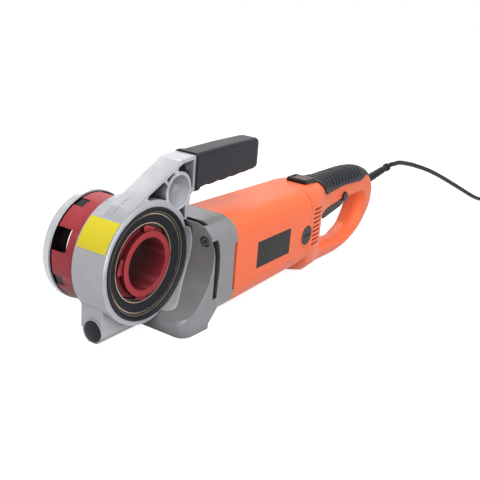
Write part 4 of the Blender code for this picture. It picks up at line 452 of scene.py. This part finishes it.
def lead_points():
    """The lead's whole route: straight out of the strain relief, down to the ground and round the coil."""
    coil = coil_route()
    leave = (coil[-1] - coil[-2]).normalized()
    leave.z = 0
    start = Vector(LEAD_START)
    free = [start, start + Vector(LEAD_OUT) * 2 * CORD_RADIUS] + [Vector(p) for p in LEAD_POINTS]
    stance = Vector((RING_X, RING_Y, 0))
    return [p + stance for p in smooth_route(free + coil + [coil[-1] + leave * COIL_TAIL], LEAD_STEPS)]


def mains_lead():
    """A round tube along the lead's route, with its points and its length."""
    points = lead_points()
    build = bmesh.new()
    side = (points[1] - points[0]).cross(Vector((0, 0, 1))).normalized()
    rings = []
    for index, point in enumerate(points):
        ahead = (points[min(index + 1, len(points) - 1)] - points[max(index - 1, 0)]).normalized()
        side = (side - ahead * side.dot(ahead)).normalized()
        up = ahead.cross(side)
        turns = [math.tau * k / CORD_SIDES for k in range(CORD_SIDES)]
        rings.append([build.verts.new(point + CORD_RADIUS * (side * math.cos(turn) + up * math.sin(turn)))
                      for turn in turns])
    skin_rings(build, rings)
    for face in build.faces:
        face.smooth = len(face.verts) == 4
    bmesh.ops.recalc_face_normals(build, faces=build.faces)
    made = new_object("mains_lead", build)
    length = sum((b - a).length for a, b in zip(points, points[1:]))
    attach(made, "machine")
    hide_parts("cord", "cord_coil")
    return made, points, length


def tie_strap():
    """A strap round the coil's strands, which is thin where it lies on the ground."""
    centre = Vector((RING_X + COIL_X, RING_Y + COIL_Y, 0))
    outward = Vector((math.cos(TIE_ANGLE), math.sin(TIE_ANGLE), 0))
    along = Vector((-outward.y, outward.x, 0))
    corner = CORD_RADIUS
    inner = TIE_INNER + corner
    outer = TIE_OUTER - corner
    low = TIE_LIFT + corner
    high = 2 * CORD_RADIUS + LAYER_RISE + 2 * REST_GAP - corner
    corners = ((outer, low, -90), (outer, high, 0), (inner, high, 90), (inner, low, 180))
    section = []
    for centre_r, centre_z, first in corners:
        for step in range(TIE_CORNER_STEPS + 1):
            turn = math.radians(first + 90 * step / TIE_CORNER_STEPS)
            section.append((centre_r, centre_z, math.cos(turn), math.sin(turn)))
    build = bmesh.new()
    loops = []
    for side, thickness in ((-1, 0.0), (-1, TIE_THICKNESS), (1, TIE_THICKNESS), (1, 0.0)):
        loop = []
        for r, z, out, up in section:
            grown = thickness if up > TIE_UNDER_SLOPE else thickness * TIE_UNDER_SHARE
            spot = centre + outward * (r + (corner + grown) * out) + along * (side * TIE_WIDTH / 2)
            spot.z = z + (corner + grown) * up
            loop.append(build.verts.new(spot))
        loops.append(loop)
    skin_rings(build, loops, closed=True)
    bmesh.ops.recalc_face_normals(build, faces=build.faces)
    made = new_object("lead_tie", build)
    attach(made, "machine")
    return made


# Small visible pieces on the head and the motor

def tool_piece(name, build, look):
    """A smooth piece that was built in the tool frame and stays with the machine."""
    bmesh.ops.transform(build, matrix=TOOL, verts=build.verts)
    bmesh.ops.recalc_face_normals(build, faces=build.faces)
    for face in build.faces:
        face.smooth = True
    made = new_object(name, build)
    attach(made, "machine")
    made.data.materials.append(LOOKS[look])
    return made


def keep_corners(made, angle):
    """Keeps a smooth piece's edges crisp where they turn by more than an angle in degrees."""
    edges = made.modifiers.new("edges", "EDGE_SPLIT")
    edges.split_angle = math.radians(angle)


def blank_sticker():
    """A plain yellow patch wrapped round the barrel's upper front."""
    build = bmesh.new()
    inner = BARREL_RADIUS + STICKER_GAP
    outer = inner + STICKER_THICKNESS
    rings = []
    for column in range(STICKER_STEPS + 1):
        turn = math.radians(STICKER_FIRST + (STICKER_LAST - STICKER_FIRST) * column / STICKER_STEPS)
        rings.append([build.verts.new((radius * math.cos(turn), y, radius * math.sin(turn)))
                      for radius, y in ((inner, STICKER_FRONT), (outer, STICKER_FRONT),
                                        (outer, STICKER_BACK), (inner, STICKER_BACK))])
    skin_rings(build, rings)
    keep_corners(tool_piece("barrel_sticker", build, "sticker"), STICKER_CORNER)


def bead(name, spots, outs, width, height, look):
    """A low rounded line that runs over a surface, with the surface's own direction given at each point."""
    build = bmesh.new()
    rings = []
    for index, spot in enumerate(spots):
        middle = Vector(spot)
        ahead = Vector(spots[min(index + 1, len(spots) - 1)]) - Vector(spots[max(index - 1, 0)])
        out = outs[index].normalized()
        side = ahead.cross(out).normalized()
        taper = BEAD_END_SHARE if index in (0, len(spots) - 1) else 1.0
        rings.append([build.verts.new(middle + side * width * taper * a + out * height * b)
                      for a, b in BEAD_SECTION])
    skin_rings(build, rings)
    tool_piece(name, build, look)


def casting_seam():
    """The dark mould line that wanders over the root of the arm."""
    outs = [Vector((x, 0, z)) for x, y, z in SEAM_POINTS]
    bead("casting_seam", SEAM_POINTS, outs, SEAM_WIDTH, SEAM_HEIGHT, "grime")


def housing_creases():
    """The moulded lines along the motor housing's near side."""
    for name, points in (("upper_crease", UPPER_CREASE), ("lower_crease", LOWER_CREASE)):
        route = smooth_route([Vector(p) for p in points], CREASE_STEPS)
        outs = [Vector((0, p.y - CORNER_Y, max(0, p.z - CORNER_Z))) for p in route]
        bead(name, route, outs, CREASE_WIDTH, CREASE_HEIGHT, "orange_plastic")


def turned_piece(name, section, centre, steps, look):
    """A ring turned about the pipe axis's direction, from radius and depth pairs."""
    build = bmesh.new()
    rings = []
    for k in range(steps):
        turn = math.tau * k / steps
        rings.append([build.verts.new((centre[0] + r * math.cos(turn), y, centre[1] + r * math.sin(turn)))
                      for r, y in section])
    skin_rings(build, rings, closed=True)
    tool_piece(name, build, look)


def seal_band():
    """The worn metal band on the outer seal."""
    section = [(BAND_INNER, BAND_DEEP), (BAND_OUTER, BAND_SHALLOW),
               (BAND_OUTER, BAND_SHALLOW - BAND_SKIN), (BAND_INNER, BAND_DEEP - BAND_SKIN)]
    turned_piece("seal_band", section, (0, 0), BAND_STEPS, "worn_band")


def cap_rims():
    """The raised plastic rims round the two brush caps."""
    for name, face, outward in (("brush_cap_near", MOTOR_NEAR, -1), ("brush_cap_far", MOTOR_FAR, 1)):
        low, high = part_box(name)
        middle = TOOL.inverted() @ ((Vector(low) + Vector(high)) / 2)
        section = [(RIM_INNER + RIM_WALL * a, face + outward * RIM_HEIGHT * b) for a, b in RIM_SECTION]
        turned_piece(name + "_rim", section, (middle.x, middle.z), RIM_STEPS,
                     "orange_plastic")


def cradle_band():
    """The raised machined band of the gear housing beside the barrel, with its bright edge."""
    build = bmesh.new()
    rings = []
    route = smooth_route([Vector((turn, depth, 0)) for turn, depth in CRADLE_EDGE], CRADLE_STEPS)
    for index, spot in enumerate(route):
        turn = math.radians(spot.x)
        out = Vector((math.cos(turn), 0, math.sin(turn)))
        skin = CRADLE_SKIN * min(1, (len(route) - index) / CRADLE_TAPER)
        section = [(CRADLE_RADIUS, -CRADLE_GAP),
                   (CRADLE_RADIUS - skin, -CRADLE_GAP),
                   (CRADLE_RADIUS - skin, spot.y + CRADLE_SKIN),
                   (CRADLE_RADIUS - skin * CRADLE_ROUND_OUT, spot.y + CRADLE_SKIN * CRADLE_ROUND_ALONG),
                   (CRADLE_RADIUS, spot.y)]
        rings.append([build.verts.new(out * r + Vector((0, y, 0))) for r, y in section])
    skin_rings(build, rings)
    keep_corners(tool_piece("cradle_band", build, "cradle_metal"), CRADLE_CORNER)


# Finishes

def worn_edges(nodes, links, shown, cloud, worn):
    """Paler on the outer edges, in patches."""
    edge = nodes.new("ShaderNodeNewGeometry")
    sharpness = map_range(nodes, links, edge.outputs["Pointiness"], given=(WORN_FROM, WORN_TO))
    rubbed = arithmetic(nodes, links, "MULTIPLY", sharpness, cloud)
    return blend_colours(nodes, links, rubbed, shown, (*worn, 1))


def painted_recess_shade(nodes, links, shown, reach, dark, closed, clear):
    """Painted shade, darker where little of the sky within reach is open."""
    open_sky = nodes.new("ShaderNodeAmbientOcclusion")
    open_sky.samples = SKY_SAMPLES
    open_sky.inputs["Distance"].default_value = reach
    unshaded = map_range(nodes, links, open_sky.outputs["AO"], given=(closed, clear))
    return blend_colours(nodes, links, unshaded, (*dark, 1), shown)


def painted_front_shade(nodes, links, shown, place, radius, depth, colour):
    """Painted shade: another colour nearer to the pipe axis than a radius and in front of a depth."""
    parts = nodes.new("ShaderNodeSeparateXYZ")
    links.new(place, parts.inputs[0])
    from_axis = vector_arithmetic(nodes, links, "SUBTRACT", place, (RING_X, 0, AXIS_HEIGHT))
    across = vector_arithmetic(nodes, links, "MULTIPLY", from_axis, (1, 0, 1))
    distance = vector_arithmetic(nodes, links, "LENGTH", across)
    within = arithmetic(nodes, links, "LESS_THAN", distance, radius)
    before = arithmetic(nodes, links, "LESS_THAN", parts.outputs["Y"], depth + RING_Y)
    both = arithmetic(nodes, links, "MULTIPLY", within, before)
    return blend_colours(nodes, links, both, shown, (*colour, 1))


def surface(name, colour, roughness, metallic=0.0, spread=0.12, grain=900.0, bump=0.15, depth=0.0003,
            patches=35.0, rough_spread=0.12, sheen=0.0, specular=0.5, worn=None, recess_shade=None, front_shades=()):
    """A finish with soft colour patches, uneven roughness and a fine grain.

    The scales of the two noises are patches and grain, and spread and rough_spread say how far the colour
    and the roughness vary. The relief of the grain is bump deep in shares of depth. Where asked, edges are
    worn pale, and painted shade darkens narrow recesses and front zones near the pipe axis."""
    made = bpy.data.materials.new(name)
    made.use_nodes = True
    nodes = made.node_tree.nodes
    links = made.node_tree.links
    shader = nodes["Principled BSDF"]
    shader.inputs["Metallic"].default_value = metallic
    shader.inputs["Sheen Weight"].default_value = sheen
    shader.inputs["Specular IOR Level"].default_value = specular
    place = nodes.new("ShaderNodeTexCoord").outputs["Object"]

    cloud = cloud_noise(nodes, links, place, patches, CLOUD_DETAIL)
    darker = (*[c * (1 - spread) for c in colour], 1)
    paler = (*[min(1, c * (1 + spread)) for c in colour], 1)
    shown = blend_colours(nodes, links, cloud, darker, paler)
    if worn:
        shown = worn_edges(nodes, links, shown, cloud, worn)
    # Painted shade in narrow recesses, slots, bores and gaps
    if recess_shade:
        shown = painted_recess_shade(nodes, links, shown, *recess_shade)
    # Painted shade on front faces near the pipe axis
    for zone in front_shades:
        shown = painted_front_shade(nodes, links, shown, place, *zone)
    links.new(shown, shader.inputs["Base Color"])

    smoothest = max(LEAST_ROUGHNESS, roughness - rough_spread)
    roughest = min(1.0, roughness + rough_spread)
    links.new(map_range(nodes, links, cloud, wanted=(smoothest, roughest)), shader.inputs["Roughness"])

    relief = nodes.new("ShaderNodeBump")
    relief.inputs["Strength"].default_value = bump
    relief.inputs["Distance"].default_value = depth
    links.new(cloud_noise(nodes, links, place, grain, FINE_DETAIL), relief.inputs["Height"])
    links.new(relief.outputs["Normal"], shader.inputs["Normal"])
    return made


# A recess shade is its reach, its dark colour, and the shares of open sky at which the painted shade is
# full and gone. Painted shade in a front zone is its radius, its depth and its colour.
FINISHES = {
    "cast_aluminium": dict(
        name="cast_aluminium_look",
        colour=(0.43, 0.435, 0.46), roughness=0.40, metallic=0.25, spread=0.13, grain=620, bump=0.8,
        depth=0.0007, worn=(0.72, 0.73, 0.75), recess_shade=(0.024, (0.07, 0.07, 0.075), 0.15, 0.72)),
    # A darker copy of the cast aluminium, with the gear housing's shade painted into its colour
    "gear_case": dict(
        name="gear_case_shaded_look",
        colour=(0.235, 0.232, 0.245), roughness=0.40, metallic=0.25, spread=0.14, grain=620, bump=0.7,
        depth=0.0006, worn=(0.29, 0.29, 0.30), recess_shade=(0.030, (0.012, 0.012, 0.014), 0.20, 0.66)),
    "steel": dict(
        name="steel_look",
        colour=(0.50, 0.50, 0.51), roughness=0.28, metallic=0.9, spread=0.08, grain=500, bump=0.1),
    # Dark steel, darkened further to paint the shade in the gaps round the die head
    "drive_ring_shade": dict(
        name="drive_ring_shade_look",
        colour=(0.035, 0.033, 0.031), roughness=0.42, metallic=0.5, grain=500, bump=0.1,
        recess_shade=(0.020, (0.006, 0.006, 0.006), 0.25, 0.75)),
    "screw_steel": dict(
        name="screw_steel_look",
        colour=(0.16, 0.16, 0.165), roughness=0.36, metallic=0.4, spread=0.08, grain=500, bump=0.1,
        recess_shade=(0.003, (0.006, 0.006, 0.007), 0.30, 0.85)),
    "dark_steel": dict(
        name="dark_steel_look",
        colour=(0.014, 0.013, 0.014), roughness=0.48, metallic=0.15, spread=0.15, grain=600, bump=0.1,
        specular=0.22),
    "brass": dict(
        name="pale_brass_look",
        colour=(0.66, 0.50, 0.34), roughness=0.33, metallic=0.5, spread=0.08, grain=500, bump=0.1),
    "bronze": dict(
        name="bronze_look",
        colour=(0.42, 0.28, 0.14), roughness=0.4, metallic=0.8, grain=500, bump=0.1),
    "copper": dict(
        name="copper_look",
        colour=(0.66, 0.36, 0.22), roughness=0.35, metallic=0.9, grain=500, bump=0.1),
    "carbon": dict(
        name="carbon_look",
        colour=(0.03, 0.03, 0.03), roughness=0.6, metallic=0.1, spread=0.2, bump=0.2),
    "red_steel": dict(
        name="red_paint_look",
        colour=(0.385, 0.034, 0.046), roughness=0.52, spread=0.08, grain=420, bump=0.25, specular=0.26,
        worn=(0.55, 0.16, 0.15), recess_shade=(0.080, (0.026, 0.001, 0.002), 0.26, 0.84)),
    "silver_cover": dict(
        name="silver_look",
        colour=(0.60, 0.61, 0.64), roughness=0.32, metallic=0.65, spread=0.16, grain=400, patches=60.0,
        recess_shade=(0.020, (0.02, 0.02, 0.02), 0.25, 0.70),
        # Painted shade on the cover's front face near the pipe axis, grey then near black
        front_shades=((0.0653, 0.0877, (0.20, 0.20, 0.215)), (0.0634, 0.0872, (0.012, 0.008, 0.009)))),
    "orange_plastic": dict(
        name="orange_plastic_look",
        colour=(0.97, 0.172, 0.058), roughness=0.42, spread=0.03, grain=1400, bump=0.12, depth=0.0002,
        rough_spread=0.06, specular=0.30, recess_shade=(0.005, (0.30, 0.025, 0.01), 0.15, 0.62)),
    "black_plastic": dict(
        name="black_plastic_look",
        colour=(0.007, 0.008, 0.011), roughness=0.42, spread=0.2, grain=1400, bump=0.25, depth=0.0002,
        specular=0.25),
    "black_rubber": dict(
        name="black_rubber_look",
        colour=(0.009, 0.010, 0.015), roughness=0.5, spread=0.15, grain=1300, bump=0.4, depth=0.0002,
        sheen=0.03, specular=0.24),
    "seal_rubber": dict(
        name="seal_rubber_look",
        colour=(0.008, 0.009, 0.013), roughness=0.5, spread=0.15, grain=1200, bump=0.3, depth=0.0002,
        specular=0.25),
    "red_plastic": dict(
        name="red_plastic_look",
        colour=(0.05, 0.004, 0.005), roughness=0.35, spread=0.1, grain=1200, depth=0.0002, specular=0.4),
    "nameplate_grey": dict(
        name="nameplate_look",
        colour=(0.012, 0.012, 0.011), roughness=0.5, spread=0.1, bump=0.1, specular=0.2),
    "cord_rubber": dict(
        name="cord_look",
        colour=(0.006, 0.006, 0.008), roughness=0.5, spread=0.15, grain=1500, bump=0.2, depth=0.0002,
        specular=0.22),
    "laminations": dict(
        name="lamination_look",
        colour=(0.25, 0.25, 0.26), roughness=0.5, metallic=0.7, spread=0.15, grain=600, bump=0.2),
    "sticker": dict(
        name="sticker_look",
        colour=(0.80, 0.66, 0.03), roughness=0.42, spread=0.04, bump=0.05, depth=0.0001,
        rough_spread=0.08, specular=0.3),
    "worn_band": dict(
        name="worn_band_look",
        colour=(0.085, 0.075, 0.066), roughness=0.42, metallic=0.4, spread=0.15),
    "cradle_metal": dict(
        name="cradle_metal_look",
        colour=(0.33, 0.328, 0.34), roughness=0.34, metallic=0.25, spread=0.06, grain=700, bump=0.2,
        worn=(0.62, 0.62, 0.64)),
    "grime": dict(
        name="grime_look",
        colour=(0.10, 0.10, 0.105), roughness=0.7, spread=0.2, bump=0.2),
}
LOOKS = {look: surface(**values) for look, values in FINISHES.items()}
# The drive ring's finish has the shade in its gaps painted into its colour
OWN_LOOKS = {"housing_screw": "screw_steel", "drive_ring": "drive_ring_shade"}


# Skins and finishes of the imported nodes

def smoothing_group():
    """Welds a faceted surface and shades it smooth, with its true corners kept sharp."""
    group = bpy.data.node_groups.new("smooth_skin", "GeometryNodeTree")
    group.interface.new_socket("Geometry", in_out="INPUT", socket_type="NodeSocketGeometry")
    group.interface.new_socket("Geometry", in_out="OUTPUT", socket_type="NodeSocketGeometry")
    nodes = group.nodes
    links = group.links
    start = nodes.new("NodeGroupInput")
    weld = nodes.new("GeometryNodeMergeByDistance")
    weld.inputs["Distance"].default_value = WELD
    plain = nodes.new("GeometryNodeRemoveAttribute")
    plain.inputs["Name"].default_value = "custom_normal"
    soft = nodes.new("GeometryNodeSetShadeSmooth")
    soft.domain = "FACE"
    soft.inputs["Shade Smooth"].default_value = True
    angle = nodes.new("GeometryNodeInputMeshEdgeAngle")
    corner = nodes.new("FunctionNodeCompare")
    corner.data_type = "FLOAT"
    corner.operation = "GREATER_THAN"
    corner.inputs[1].default_value = math.radians(CORNER_ANGLE)
    sharp = nodes.new("GeometryNodeSetShadeSmooth")
    sharp.domain = "EDGE"
    sharp.inputs["Shade Smooth"].default_value = False
    end = nodes.new("NodeGroupOutput")
    links.new(start.outputs[0], weld.inputs["Geometry"])
    links.new(weld.outputs["Geometry"], plain.inputs["Geometry"])
    links.new(plain.outputs["Geometry"], soft.inputs["Geometry"])
    links.new(soft.outputs["Geometry"], sharp.inputs["Geometry"])
    links.new(angle.outputs["Unsigned Angle"], corner.inputs[0])
    links.new(corner.outputs["Result"], sharp.inputs["Selection"])
    links.new(sharp.outputs["Geometry"], end.inputs[0])
    return group


def smooth(node, name, group):
    """Smooth shading, and softened corners on the mouldings and castings that have them."""
    skin = node.modifiers.new("smooth_skin", "NODES")
    skin.node_group = group
    if name in ROUNDED:
        flat = node.modifiers.new("flat_faces", "DECIMATE")
        flat.decimate_type = "DISSOLVE"
        flat.angle_limit = math.radians(FLAT_ANGLE)
        edge = node.modifiers.new("soft_edges", "BEVEL")
        edge.width = ROUNDED[name]
        edge.segments = ROUND_STEPS
        edge.limit_method = "ANGLE"
        edge.angle_limit = math.radians(CORNER_ANGLE)
        edge.use_clamp_overlap = True
    weighted = node.modifiers.new("weighted_normals", "WEIGHTED_NORMAL")
    weighted.keep_sharp = True


def dress_nodes():
    group = smoothing_group()
    for entry in frame["record"]["subparts"]:
        name = entry["node"]
        node = frame["nodes"][name]
        node.data.materials.clear()
        node.data.materials.append(LOOKS[OWN_LOOKS.get(name, entry["material_slot"])])
        if name not in ("cord", "cord_coil"):
            smooth(node, name, group)


camera()
lead, lead_route, lead_length = mains_lead()
tie = tie_strap()
world()
floor()
for lamp, (place, target, size, power) in LAMPS.items():
    area_light(lamp, place, target, size, power)
dress_nodes()
lead.data.materials.append(LOOKS["cord_rubber"])
tie.data.materials.append(LOOKS["black_rubber"])
blank_sticker()
casting_seam()
housing_creases()
seal_band()
cap_rims()
cradle_band()

bpy.context.scene.view_settings.view_transform = "Standard"
bpy.context.view_layer.update()
